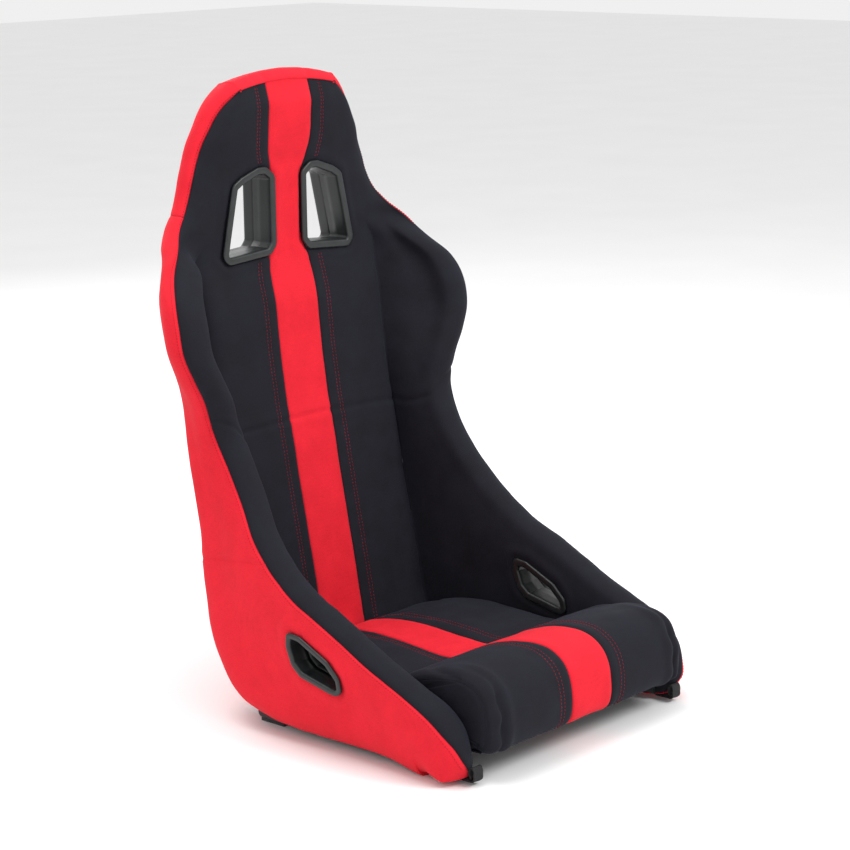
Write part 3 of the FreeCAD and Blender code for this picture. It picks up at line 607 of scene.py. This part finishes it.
class Material:
    """A procedural material on object coordinates."""

    def __init__(self, name):
        self.mat = bpy.data.materials.new(name)
        self.mat.use_nodes = True
        self.nodes, self.links = self.mat.node_tree.nodes, self.mat.node_tree.links
        self.shader = self.nodes["Principled BSDF"]
        self.coords = self.nodes.new("ShaderNodeTexCoord").outputs["Object"]

    def texture(self, kind, scale, **settings):
        node = self.nodes.new("ShaderNodeTex" + kind)
        node.inputs["Scale"].default_value = scale
        for key, value in settings.items():
            if key in node.inputs:
                node.inputs[key].default_value = value
            else:
                setattr(node, key, value)
        self.links.new(self.coords, node.inputs["Vector"])
        return node

    def ramp(self, source, *stops):
        """A colour that runs between two (height, colour) stops."""
        node = self.nodes.new("ShaderNodeValToRGB")
        for element, (at, colour) in zip(node.color_ramp.elements, stops):
            element.position, element.color = at, colour
        self.links.new(source, node.inputs["Fac"])
        return node.outputs["Color"]

    def mixed(self, kind, factor, a, b):
        node = self.nodes.new("ShaderNodeMix")
        node.data_type, node.blend_type = "RGBA", kind
        node.inputs[0].default_value = factor
        self.links.new(a, node.inputs[6])
        self.links.new(b, node.inputs[7])
        return node.outputs[2]

    def link(self, source, name):
        self.links.new(source, self.shader.inputs[name])

    def fix(self, name, value):
        self.shader.inputs[name].default_value = value

    def rough(self, source, low, high):
        """Roughness that wanders between two values with a noise."""
        self.link(self.ramp(source, (0.3, grey(low)), (0.7, grey(high))), "Roughness")

    def bumps(self, *heights):
        """Chains bump nodes: (height socket, strength, distance in metres)."""
        last = None
        for height, strength, distance in heights:
            node = self.nodes.new("ShaderNodeBump")
            node.inputs["Strength"].default_value = strength
            node.inputs["Distance"].default_value = distance
            self.links.new(height, node.inputs["Height"])
            if last is not None:
                self.links.new(last, node.inputs["Normal"])
            last = node.outputs["Normal"]
        self.link(last, "Normal")


def cloth_material(name, dark, light, roughness, sheen, tint, loop=780.0):
    """Knitted cover cloth: fine loops in the bump, nap and slight unevenness in the colour."""
    m = Material(name)
    loops = m.texture("Voronoi", loop, feature="SMOOTH_F1", Smoothness=0.6, Randomness=0.75).outputs["Distance"]
    fibre = m.texture("Noise", 1900.0, Detail=3.0).outputs["Fac"]
    nap = m.texture("Noise", 26.0, Detail=4.0, Roughness=0.6).outputs["Fac"]
    colour = m.mixed("MULTIPLY", 0.55, m.ramp(nap, (0.32, dark), (0.68, light)),
                     m.ramp(loops, (0.0, grey(1.12)), (0.75, grey(0.72))))
    colour = m.mixed("MULTIPLY", 0.6, colour, m.ramp(fibre, (0.3, grey(0.86)), (0.7, grey(1.1))))
    m.link(colour, "Base Color")
    m.rough(nap, roughness - 0.06, roughness + 0.04)
    m.fix("Specular IOR Level", 0.18)
    m.fix("Sheen Weight", sheen)
    m.fix("Sheen Roughness", 0.45)
    m.fix("Sheen Tint", tint)
    m.bumps((loops, 0.35, 0.0006), (nap, 0.25, 0.0012))
    return m.mat


def plastic_material():
    m = Material("moulded_plastic")
    grain = m.texture("Voronoi", 1500.0).outputs["Distance"]
    haze = m.texture("Noise", 60.0, Detail=5.0).outputs["Fac"]
    m.link(m.ramp(haze, (0.3, linear(21, 24, 25)), (0.7, linear(31, 35, 36))), "Base Color")
    m.rough(haze, 0.34, 0.46)
    m.bumps((grain, 0.12, 0.0003))
    return m.mat


def steel_material(name, dark, light, metallic, roughness):
    m = Material(name)
    peel = m.texture("Noise", 900.0, Detail=2.0).outputs["Fac"]
    wear = m.texture("Noise", 40.0, Detail=6.0, Roughness=0.7).outputs["Fac"]
    m.link(m.ramp(wear, (0.35, dark), (0.62, light)), "Base Color")
    m.fix("Metallic", metallic)
    m.rough(wear, roughness - 0.08, roughness + 0.1)
    m.bumps((peel, 0.15, 0.0004))
    return m.mat


def woven_material(name, dark, light, pitch):
    """Woven webbing: ribs across, with a finer thread along."""
    m = Material(name)
    ribs = m.texture("Wave", pitch, Distortion=0.6, bands_direction="X").outputs["Color"]
    cross = m.texture("Wave", pitch * 1.3, Distortion=0.6, bands_direction="Z").outputs["Color"]
    fuzz = m.texture("Noise", 800.0, Detail=3.0)
    height = m.mixed("MULTIPLY", 1.0, ribs, cross)
    m.link(m.mixed("OVERLAY", 0.25, m.ramp(height, (0.0, dark), (0.8, light)), fuzz.outputs["Color"]), "Base Color")
    m.fix("Roughness", 0.85)
    m.bumps((height, 0.6, 0.0006), (fuzz.outputs["Fac"], 0.2, 0.0004))
    return m.mat


BLACK = cloth_material("black_knit", linear(22, 22, 28), linear(29, 29, 37), 0.88, 0.05, linear(150, 160, 200))
RED = cloth_material("red_knit", linear(214, 28, 44), linear(226, 34, 50), 0.84, 0.10, linear(255, 120, 130), 900.0)
PLASTIC = plastic_material()
FRAME_STEEL = steel_material("powder_coat", linear(24, 25, 27), linear(38, 39, 42), 0.0, 0.42)
ZINC = steel_material("zinc_plate", linear(150, 152, 150), linear(186, 188, 184), 1.0, 0.35)
WEBBING = woven_material("woven_webbing", linear(16, 16, 18), linear(44, 44, 48), 420.0)
FELT = woven_material("pressed_felt", linear(70, 70, 74), linear(104, 104, 108), 90.0)
THREAD_RED = cloth_material("red_thread", linear(120, 18, 30), linear(150, 26, 40), 0.7, 0.1, linear(255, 160, 160))

FINISH = {"frame_steel": FRAME_STEEL, "zinc_steel": ZINC, "webbing": WEBBING, "felt": FELT, "black_plastic": PLASTIC,
          "black_cloth": BLACK, "red_cloth": RED, "foam": FELT}
for part in frame["record"]["subparts"]:
    node = frame["nodes"].get(part.get("node") or part.get("name"))
    if node is None:
        continue
    finish = FINISH[part["material_slot"]]
    if not node.material_slots:
        node.data.materials.append(finish)
    for holder in node.material_slots:
        holder.material = finish

# ---- shell upholstery
SIDES = {"left": -1, "right": 1}
for name, side in SIDES.items():
    black = Cloth()
    add_grid(black, side, BACK, ROWS - 1, MARK[1], MARK[11], holes)
    add_grid(black, side, 0, BACK, MARK[5], MARK[11], holes)
    add_wall(black, side)
    panel = mesh_object(f"panel_{name}", black.points, black.faces, BLACK)
    thicken(panel)
    settle(panel, "shell", "black_cloth", 0.8, f"back_panel_{name}", f"bolster_cover_{name}", f"bolster_foam_{name}")
    red = Cloth()
    add_grid(red, side, BACK, HEAD_SEAM, MARK[11], MARK[15], holes)
    add_grid(red, side, 0, BACK, MARK[11], MARK[16], holes)
    add_foot(red, side)
    flank = mesh_object(f"side_{name}", red.points, red.faces, RED)
    thicken(flank)
    settle(flank, "shell", "red_cloth", 0.8, f"side_cover_{name}")

band = Cloth()
rear = Cloth()
for side in (-1, 1):
    add_grid(band, side, BACK, ROWS - 1, 0, MARK[1], holes)
    add_grid(band, side, HEAD_SEAM, ROWS - 1, MARK[11], MARK[15], holes)
    add_cap(band, side)
    add_grid(rear, side, BACK, ROWS - 1, MARK[15], LAST, holes)
head_band = mesh_object("stripe_and_head_band", band.points, band.faces, RED)
thicken(head_band)
settle(head_band, "shell", "red_cloth", 0.8, "back_stripe", "head_band", "head_foam")
rear_panel = mesh_object("rear_panel", rear.points, rear.faces, RED)
thicken(rear_panel)
settle(rear_panel, "shell", "red_cloth", 0.7, "rear_cover", "back_foam")


# ---- bezels
def ring_object(name, loops, place_point):
    """A closed ring swept from outline loops, each loop at its own depth."""
    points, faces = [], []
    n = len(loops[0][0])
    for loop, depth in loops:
        points.extend(place_point(a, b, depth) for a, b in loop)
    m = len(loops)
    for k in range(m):
        for i in range(n):
            j = (i + 1) % n
            a, b = k * n + i, k * n + j
            c, d = ((k + 1) % m) * n + j, ((k + 1) % m) * n + i
            faces.append([a, b, c, d])
    ring = mesh_object(name, points, faces, PLASTIC)
    bm = bmesh.new()
    bm.from_mesh(ring.data)
    bmesh.ops.recalc_face_normals(bm, faces=bm.faces)
    bm.to_mesh(ring.data)
    bm.free()
    return ring


def bezel_loops(polygon, inset, back, front, end, lip):
    """Loops from the flange's back edge over its face and down the sleeve to its end."""
    step = 1 if front > back else -1
    proud = abs(front - back)
    profile = [(0.5, 0.0), (0.0, 0.35), (0.35, 0.75), (1.3, 0.96), (3.0, 1.0), (lip - 3.2, 0.99), (lip - 1.4, 0.86),
               (lip - 0.5, 0.55), (lip, 0.0)]
    loops = [(rounded_loop(polygon, a, 15.0), back + step * proud * h) for a, h in profile]
    loops += [(rounded_loop(polygon, lip, 15.0), back + (end - back) * t) for t in (0.12, 0.5, 1.0)]
    loops += [(rounded_loop(polygon, inset, 15.0), back + (end - back) * t) for t in (1.0, 0.5, 0.02)]
    return loops


# Slot, face, outline, the sleeve's inset, the flange's back and front, the sleeve's end and the lip's inset.
BEZELS = [("shoulder", "front", SHOULDER, 8.8, 306.8, 302.8, 340.0, 11.0),
          ("shoulder", "rear", SHOULDER, 6.2, 360.2, 364.2, 334.0, 8.4),
          ("lap", "inner", LAP, 8.8, 206.2, 202.2, 240.0, 11.0), ("lap", "outer", LAP, 6.2, 265.3, 269.3, 234.0, 8.4)]
for name, side in SIDES.items():
    for slot, face, polygon, *sizes in BEZELS:
        def put(a, b, depth):
            return (side * a, depth, b) if slot == "shoulder" else (side * depth, a, b)
        ring = ring_object(f"bezel_{slot}_{face}_{name}", bezel_loops(polygon, *sizes), put)
        settle(ring, "shell", "black_plastic", None, f"{slot}_bezel_{face}_{name}")


# ---- cushion
HALF = 203.5                      # half-width of the cushion
PLAN = [(-252, HALF), (-60, HALF), (-20, 199.5), (30, 195), (90, 188), (130, 178), (160, 164), (188, 130), (201, 90),
        (204, 50)]
SEAT_LINE = [(204, 60), (205, 74), (200, 90), (186, 102), (160, 108), (98, 113), (20, 109), (-28, 107), (-48, 109),
             (-60, 115), (-74, 124), (-96, 138), (-124, 149), (-156, 157), (-188, 160), (-214, 155), (-234, 141),
             (-244, 122), (-248, 100), (-248, 78), (-243, 63), (-232, 55.5), (-214, 56.5)]
SEAT_STEPS = [3, 3, 3, 5, 9, 11, 8, 4, 3, 3, 5, 5, 6, 5, 5, 5, 4, 4, 4, 4, 3, 3]
BASE_Z = 58.0
END_ROUND = 17.0                  # radius of the roll's ends


def half_width(y):
    """The cushion's half-width in plan."""
    ys, ws = zip(*PLAN)
    return float(np.interp(y, ys, ws))


seat_profile = spline(SEAT_LINE, SEAT_STEPS)
base_run = np.stack([np.linspace(-208, 204, 50)[1:-1], np.full(48, BASE_Z)], axis=1)
loop = np.concatenate([seat_profile, base_run])
N_LOOP, N_TOP = len(loop), len(seat_profile)
nxt, prv = np.roll(loop, -1, axis=0), np.roll(loop, 1, axis=0)
tangent = nxt - prv
tangent /= np.linalg.norm(tangent, axis=1, keepdims=True)
inward = np.stack([-tangent[:, 1], tangent[:, 0]], axis=1)
if np.sum(inward * (np.array([-100.0, 80.0]) - loop)) < 0:
    inward = -inward
inset_depth = np.interp(loop[:, 0], (-250, -150, -70, -30, 204), (0.8, 0.8, 0.75, 0.45, 0.35))
inset_depth[N_TOP:] = 0.12

half_cols = np.array([0, 10, 20, 31, STRIPE, 48, 54, 61, 68, 80, 92, 104, 116, 128, 140, 152, 163, 173, 181, 187, 192,
                      196.5, 200, 202.3, HALF])
cols = np.concatenate([-half_cols[:0:-1], half_cols])


def cushion_vertex(u, i):
    y, z = loop[i]
    over = max(0.0, (abs(u) - (HALF - END_ROUND)) / END_ROUND)
    back_in = END_ROUND * (1 - math.sqrt(max(0.0, 1 - over * over))) * inset_depth[i]
    y2, z2 = y + inward[i, 0] * back_in, z + inward[i, 1] * back_in
    return (u * half_width(y2) / HALF, y2, z2)


pad = np.array([[cushion_vertex(u, i) for i in range(N_LOOP)] for u in cols])


def inflate(name, points, faces, pins, pressure, cap, frames=20):
    """Cloth-simulates a mesh under inner pressure and returns its points, moved by no more than a cap in mm."""
    obj = mesh_object(name + "_sim", points, faces, BLACK)
    pinned = obj.vertex_groups.new(name="pins")
    pinned.add([int(i) for i in pins], 1.0, "REPLACE")
    cloth = obj.modifiers.new("cloth", "CLOTH")
    settings = cloth.settings
    settings.vertex_group_mass = "pins"
    settings.use_pressure = True
    settings.uniform_pressure_force = pressure
    settings.effector_weights.gravity = 0
    settings.quality = 6
    settings.tension_stiffness = settings.compression_stiffness = 12.0
    settings.bending_stiffness = 0.6
    settings.mass = 0.25
    cloth.point_cache.frame_start, cloth.point_cache.frame_end = 1, frames
    scene = bpy.context.scene
    for step in range(1, frames + 1):
        scene.frame_set(step)
    graph = bpy.context.evaluated_depsgraph_get()
    result = obj.evaluated_get(graph).to_mesh()
    moved = np.empty(len(points) * 3)
    result.vertices.foreach_get("co", moved)
    moved = moved.reshape(-1, 3) / MM + np.array([0, 0, DATUM])
    obj.evaluated_get(graph).to_mesh_clear()
    bpy.data.objects.remove(obj)
    scene.frame_set(1)
    start = np.array(points, float)
    shift = moved - start
    length = np.linalg.norm(shift, axis=1, keepdims=True)
    shift *= np.minimum(1.0, cap / np.maximum(length, 1e-9))
    return start + shift


n_cols = len(cols)
pad_points = [tuple(pad[a, i]) for a in range(n_cols) for i in range(N_LOOP)]
pad_faces = []
for a in range(n_cols - 1):
    for i in range(N_LOOP):
        j = (i + 1) % N_LOOP
        pad_faces.append([a * N_LOOP + i, (a + 1) * N_LOOP + i, (a + 1) * N_LOOP + j, a * N_LOOP + j])
for column in (0, n_cols - 1):
    centre = pad[column].mean(axis=0)
    previous = [column * N_LOOP + i for i in range(N_LOOP)]
    for scale in (0.9, 0.72, 0.5, 0.25):
        base = len(pad_points)
        ring = centre + (pad[column] - centre) * np.array([1, scale, scale])
        pad_points.extend(tuple(p) for p in ring)
        now = [base + i for i in range(N_LOOP)]
        for i in range(N_LOOP):
            j = (i + 1) % N_LOOP
            face = [previous[i], previous[j], now[j], now[i]]
            pad_faces.append(face[::-1] if column == 0 else face)
        previous = now
    base = len(pad_points)
    pad_points.append(tuple(centre))
    for i in range(N_LOOP):
        j = (i + 1) % N_LOOP
        face = [previous[i], previous[j], base]
        pad_faces.append(face[::-1] if column == 0 else face)

valley = int(np.argmin(abs(loop[:N_TOP, 0] + 50) + 10 * (loop[:N_TOP, 1] > 130)))
pins = [a * N_LOOP + i for a in range(n_cols) for i in range(N_LOOP)
        if i >= N_TOP - 1 or i == 0 or i == valley or abs(abs(cols[a]) - STRIPE) < 0.5 and i < N_TOP]
pins += list(range(n_cols * N_LOOP, len(pad_points)))
blown = inflate("cushion", pad_points, [f[::-1] for f in pad_faces], pins, 4.0, 6.0)
pad = blown[:n_cols * N_LOOP].reshape(n_cols, N_LOOP, 3)
limit = np.array([[half_width(p[1]) for p in line] for line in pad])
pad[..., 0] = np.clip(pad[..., 0], -limit, limit)

# One finer grid over the swollen pad, with its seams and folds drawn in.
fine_steps = [3] * (n_cols - 1)
knots = np.concatenate([[0], np.cumsum(np.diff(cols))])
pad_fine = spline(pad, fine_steps, knots)
wrapped = np.concatenate([pad_fine, pad_fine[:, :1]], axis=1)
pad_fine = spline(wrapped.transpose(1, 0, 2), [2] * N_LOOP)[:-1].transpose(1, 0, 2)
fine_cols = spline(cols[:, None], fine_steps, knots)[:, 0]
FINE_LOOP = pad_fine.shape[1]
FINE_TOP = (N_TOP - 1) * 2


def dress_cushion(block):
    """The cushion's grid with its seams, corner gathers and folds drawn in."""
    along_x = np.gradient(block, axis=0)
    padded_loop = np.concatenate([block[:, -1:], block, block[:, :1]], axis=1)
    along_loop = (padded_loop[:, 2:] - padded_loop[:, :-2]) * 0.5
    n = np.cross(along_x, along_loop)
    n /= np.maximum(np.linalg.norm(n, axis=2, keepdims=True), 1e-9)
    centre = np.array([0.0, -60.0, 80.0])
    if np.sum(n[:, :FINE_TOP] * (block[:, :FINE_TOP] - centre)) < 0:
        n = -n
    x, y, z = abs(block[..., 0]), block[..., 1], block[..., 2]
    u = abs(fine_cols)[:, None] + 0 * y
    index = np.arange(FINE_LOOP)[None, :] + 0 * y
    top = (index < FINE_TOP) * 1.0
    move = -top * (1.5 * bell(u - STRIPE, 2.6) - 0.6 * bell(abs(u - STRIPE) - 9, 5.0))
    move -= top * 0.5 * bell(u - 65, 2.5)
    roll = top * (y < -66)
    front = np.clip((-y - 150) / 70, 0, 1) * top
    move -= front * 5.0 * bell(u - 184, 4.5) * np.clip((168 - z) / 50, 0, 1)
    move += front * 2.4 * bell(u - 172, 8.0)
    move += front * 2.2 * np.sin(z * 0.16 + u * 0.05) * bell(u - 186, 12)
    move -= top * bell(y + 49, 5.0) * 3.5
    fold = bell((z - 139 - 0.10 * (y + 120)) - 0.35 * (u - 150), 6.0) * roll * np.clip((u - 128) / 40, 0, 1)
    move -= 2.6 * fold * (y > -190)
    flat = block.reshape(-1, 3)
    uneven = np.array([rumple(p + 300.0) for p in flat]).reshape(x.shape)
    return block + n * (move + 0.9 * uneven * top)[..., None]


pad_fine = dress_cushion(pad_fine)
pad_fine[..., 2] = np.maximum(pad_fine[..., 2], BASE_Z - 4.0)
fine_limit = np.array([[half_width(p[1]) for p in line] for line in pad_fine])
pad_fine[..., 0] = np.clip(pad_fine[..., 0], -fine_limit, fine_limit)


def cushion_patch(name, material, slot, u0, u1, i0, i1, *nodes, ends=False):
    cloth = Cloth()
    a0, a1 = int(np.argmin(abs(fine_cols - u0))), int(np.argmin(abs(fine_cols - u1)))
    for a in range(a0, a1):
        for i in range(i0, i1):
            j = (i + 1) % FINE_LOOP
            corners = [(("p", a + p, q % FINE_LOOP), tuple(pad_fine[a + p, q % FINE_LOOP]))
                       for p, q in ((0, i), (1, i), (1, j), (0, j))]
            cloth.quad(corners, True)
    if ends:
        for a, flip in ((0, True), (len(fine_cols) - 1, False)):
            centre = pad_fine[a].mean(axis=0)
            ring = [(("p", a, i), tuple(pad_fine[a, i])) for i in range(FINE_LOOP)]
            for step, scale in enumerate((0.94, 0.8, 0.55, 0.3)):
                shrunk = centre + (pad_fine[a] - centre) * np.array([1, scale, scale])
                now = [(("e", a, step, i), tuple(shrunk[i])) for i in range(FINE_LOOP)]
                for i in range(FINE_LOOP):
                    j = (i + 1) % FINE_LOOP
                    cloth.quad([ring[i], ring[j], now[j], now[i]], flip)
                ring = now
            for i in range(FINE_LOOP):
                cloth.quad([ring[i], ring[(i + 1) % FINE_LOOP], (("m", a), tuple(centre))], flip)
    obj = mesh_object(name, cloth.points, cloth.faces, material)
    thicken(obj, 1.8)
    return settle(obj, "cushion", slot, 0.8, *nodes)


cushion_patch("seat_panel_left", BLACK, "black_cloth", -HALF, -STRIPE, 0, FINE_TOP, "cushion_cover_left")
cushion_patch("seat_panel_right", BLACK, "black_cloth", STRIPE, HALF, 0, FINE_TOP, "cushion_cover_right")
cushion_patch("seat_stripe", RED, "red_cloth", -STRIPE, STRIPE, 0, FINE_TOP, "cushion_stripe", "cushion_foam")
cushion_patch("seat_boxing", BLACK, "black_cloth", -HALF, HALF, FINE_TOP, FINE_LOOP, "cushion_boxing", ends=True)


# ---- stitching
def stitches(name, runs, body, pitch=5.0, length=3.4, radius=0.42, lift=0.35):
    """Thread lying along runs of (points, normals): one small rounded rod for each stitch."""
    points, faces = [], []
    sides = 6
    for path, normals in runs:
        path, normals = np.asarray(path), np.asarray(normals)
        gaps = np.linalg.norm(np.diff(path, axis=0), axis=1)
        reach = np.concatenate([[0], np.cumsum(gaps)])
        at = 1.0
        while at + length < reach[-1]:
            ends = []
            for s in (at, at + 0.3 * length, at + 0.7 * length, at + length):
                p = np.array([np.interp(s, reach, path[:, k]) for k in range(3)])
                m = np.array([np.interp(s, reach, normals[:, k]) for k in range(3)])
                ends.append((p, m / max(np.linalg.norm(m), 1e-9)))
            direction = ends[-1][0] - ends[0][0]
            direction /= max(np.linalg.norm(direction), 1e-9)
            base = len(points)
            for (p, m), h, r in zip(ends, (-0.4, lift, lift, -0.4), (0.6, 1.0, 1.0, 0.6)):
                sideways = np.cross(m, direction)
                for k in range(sides):
                    turn = 2 * math.pi * k / sides
                    points.append(p + m * h + (sideways * math.cos(turn) + m * math.sin(turn)) * radius * r)
            for ring in range(3):
                for k in range(sides):
                    j = (k + 1) % sides
                    a = base + ring * sides
                    faces.append([a + k, a + j, a + sides + j, a + sides + k])
            faces.append([base + k for k in range(sides)][::-1])
            faces.append([base + 3 * sides + k for k in range(sides)])
            at += pitch
    obj = mesh_object(name, points, faces, THREAD_RED)
    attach(obj, body)


def grid_runs(column, r0, r1):
    """Runs along a grid column between two rows, left out where a belt slot's bezel lies."""
    normals = normals_of(grid)
    runs = []
    for side in (-1, 1):
        flip = np.array([side, 1, 1])
        points = grid[r0:r1, column]
        clear, _ = polygon_distance(points[:, (0, 2)], SHOULDER)
        clear_lap, _ = polygon_distance(points[:, (1, 2)], LAP)
        keep = (clear > 2.0) & ((clear_lap > 2.0) | (points[:, 2] > 240))
        start = None
        for i in range(len(points) + 1):
            if i < len(points) and keep[i]:
                start = i if start is None else start
            elif start is not None:
                if i - start > 4:
                    runs.append((points[start:i] * flip, normals[r0:r1, column][start:i] * flip))
                start = None
    return runs


back_runs = []
for offset in (-1, 1):
    back_runs += grid_runs(MARK[2] + offset, BACK + 2, ROWS - 2)
stitches("back_stitching", back_runs, "shell")
stitches("rim_stitching", grid_runs(RIM_SEAM + 2, 4, ROWS - 2), "shell", pitch=4.2, length=2.8, radius=0.35)
seat_runs = []
pad_normals = normals_of(pad_fine)
if pad_normals[len(fine_cols) // 2, FINE_TOP // 3, 2] < 0:
    pad_normals = -pad_normals
for u in (-68, -62, 62, 68):
    a = int(np.argmin(abs(fine_cols - u)))
    seat_runs.append((pad_fine[a, 14:FINE_TOP - 6], pad_normals[a, 14:FINE_TOP - 6]))
stitches("seat_stitching", seat_runs, "cushion")


# ---- hem tabs
for name, side in SIDES.items():
    low, high = (Vector(c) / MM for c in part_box(f"hem_tab_{name}"))
    x0, x1, y0, y1, z0, z1 = low.x, high.x, low.y, high.y, low.z + DATUM, high.z + DATUM
    path = [(y1, z0 + 1.2), (y0 + 9, z0 + 1.2), (y0 + 3, z0 + 1.6), (y0 + 0.8, z0 + 4.5), (y0 + 0.7, z0 + 9),
            (y0 + 0.9, z1 + 3), (y0 + 3.5, z1 + 7), (y0 + 8, z1 + 5), (y0 + 9, z1), (y0 + 6, z0 + 5)]
    line = spline(np.array(path, float), [6] + [4] * 8)
    points, faces = [], []
    widths = np.linspace(x0, x1, 9)
    for y, z in line:
        for w, x in enumerate(widths):
            points.append((x, y, z + 0.4 * math.sin(w * 0.8)))
    for i in range(len(line) - 1):
        for w in range(8):
            a = i * 9 + w
            faces.append([a, a + 1, a + 10, a + 9])
    tab = mesh_object(f"tab_{name}", points, faces, WEBBING)
    solid = tab.modifiers.new("thickness", "SOLIDIFY")
    solid.thickness, solid.offset = 2.0 * MM, 0
    round_edges = tab.modifiers.new("edges", "BEVEL")
    round_edges.width, round_edges.segments = 0.5 * MM, 2
    bake(tab)
    settle(tab, "shell", "webbing", None, f"hem_tab_{name}")

# ---- floor, light and camera
floor = bpy.data.objects.new("floor", bpy.data.meshes.new("floor"))
floor.data.from_pydata([(-14, -14, 0), (14, -14, 0), (14, 14, 0), (-14, 14, 0)], [], [(0, 1, 2, 3)])
pale = Material("pale_floor")
cloud = pale.texture("Noise", 3.0, Detail=3.0).outputs["Fac"]
pale.link(pale.ramp(cloud, (0.3, grey(0.86)), (0.7, grey(0.88))), "Base Color")
pale.fix("Roughness", 0.9)
floor.data.materials.append(pale.mat)
collection.objects.link(floor)

world = bpy.data.worlds.new("studio")
world.use_nodes = True
world.node_tree.nodes["Background"].inputs["Color"].default_value = (1.0, 1.0, 1.0, 1)
world.node_tree.nodes["Background"].inputs["Strength"].default_value = 0.87
bpy.context.scene.world = world


def area_light(name, location, target, size, watts):
    data = bpy.data.lights.new(name, "AREA")
    data.energy, data.size = watts, size
    lamp = bpy.data.objects.new(name, data)
    lamp.location = location
    lamp.rotation_euler = (Vector(target) - Vector(location)).to_track_quat("-Z", "Y").to_euler()
    collection.objects.link(lamp)


area_light("key", (0.9, -2.8, 3.0), (0, 0.05, 0.40), 1.5, 85)
area_light("fill", (-2.8, -1.2, 1.7), (0, 0, 0.35), 1.8, 12)
area_light("top", (-0.6, 0.4, 3.2), (0, 0, 0.4), 1.6, 45)
area_light("back", (1.0, 3.0, 2.0), (0, 0.2, 0.45), 2.0, 30)

AZIMUTH, ELEVATION, ROLL = math.radians(-47.93), math.radians(12.64), math.radians(-0.75)
backward = Vector((math.sin(AZIMUTH) * math.cos(ELEVATION), -math.cos(AZIMUTH) * math.cos(ELEVATION),
                   math.sin(ELEVATION)))
rightward = (-backward).cross(Vector((0, 0, 1))).normalized()
upward = rightward.cross(-backward)
camera_x = rightward * math.cos(ROLL) + upward * math.sin(ROLL)
camera_y = -rightward * math.sin(ROLL) + upward * math.cos(ROLL)
camera = bpy.data.objects.new("camera", bpy.data.cameras.new("camera"))
camera.data.lens, camera.data.sensor_width = 103.9, 36.0
place = Vector((0.4334, 0.4390, 0.2685)) + backward * 4.0
turn = Matrix((camera_x, camera_y, backward)).transposed().to_4x4()
camera.matrix_world = Matrix.Translation(place) @ turn
collection.objects.link(camera)
bpy.context.scene.camera = camera
bpy.context.scene.view_settings.view_transform = "Standard"
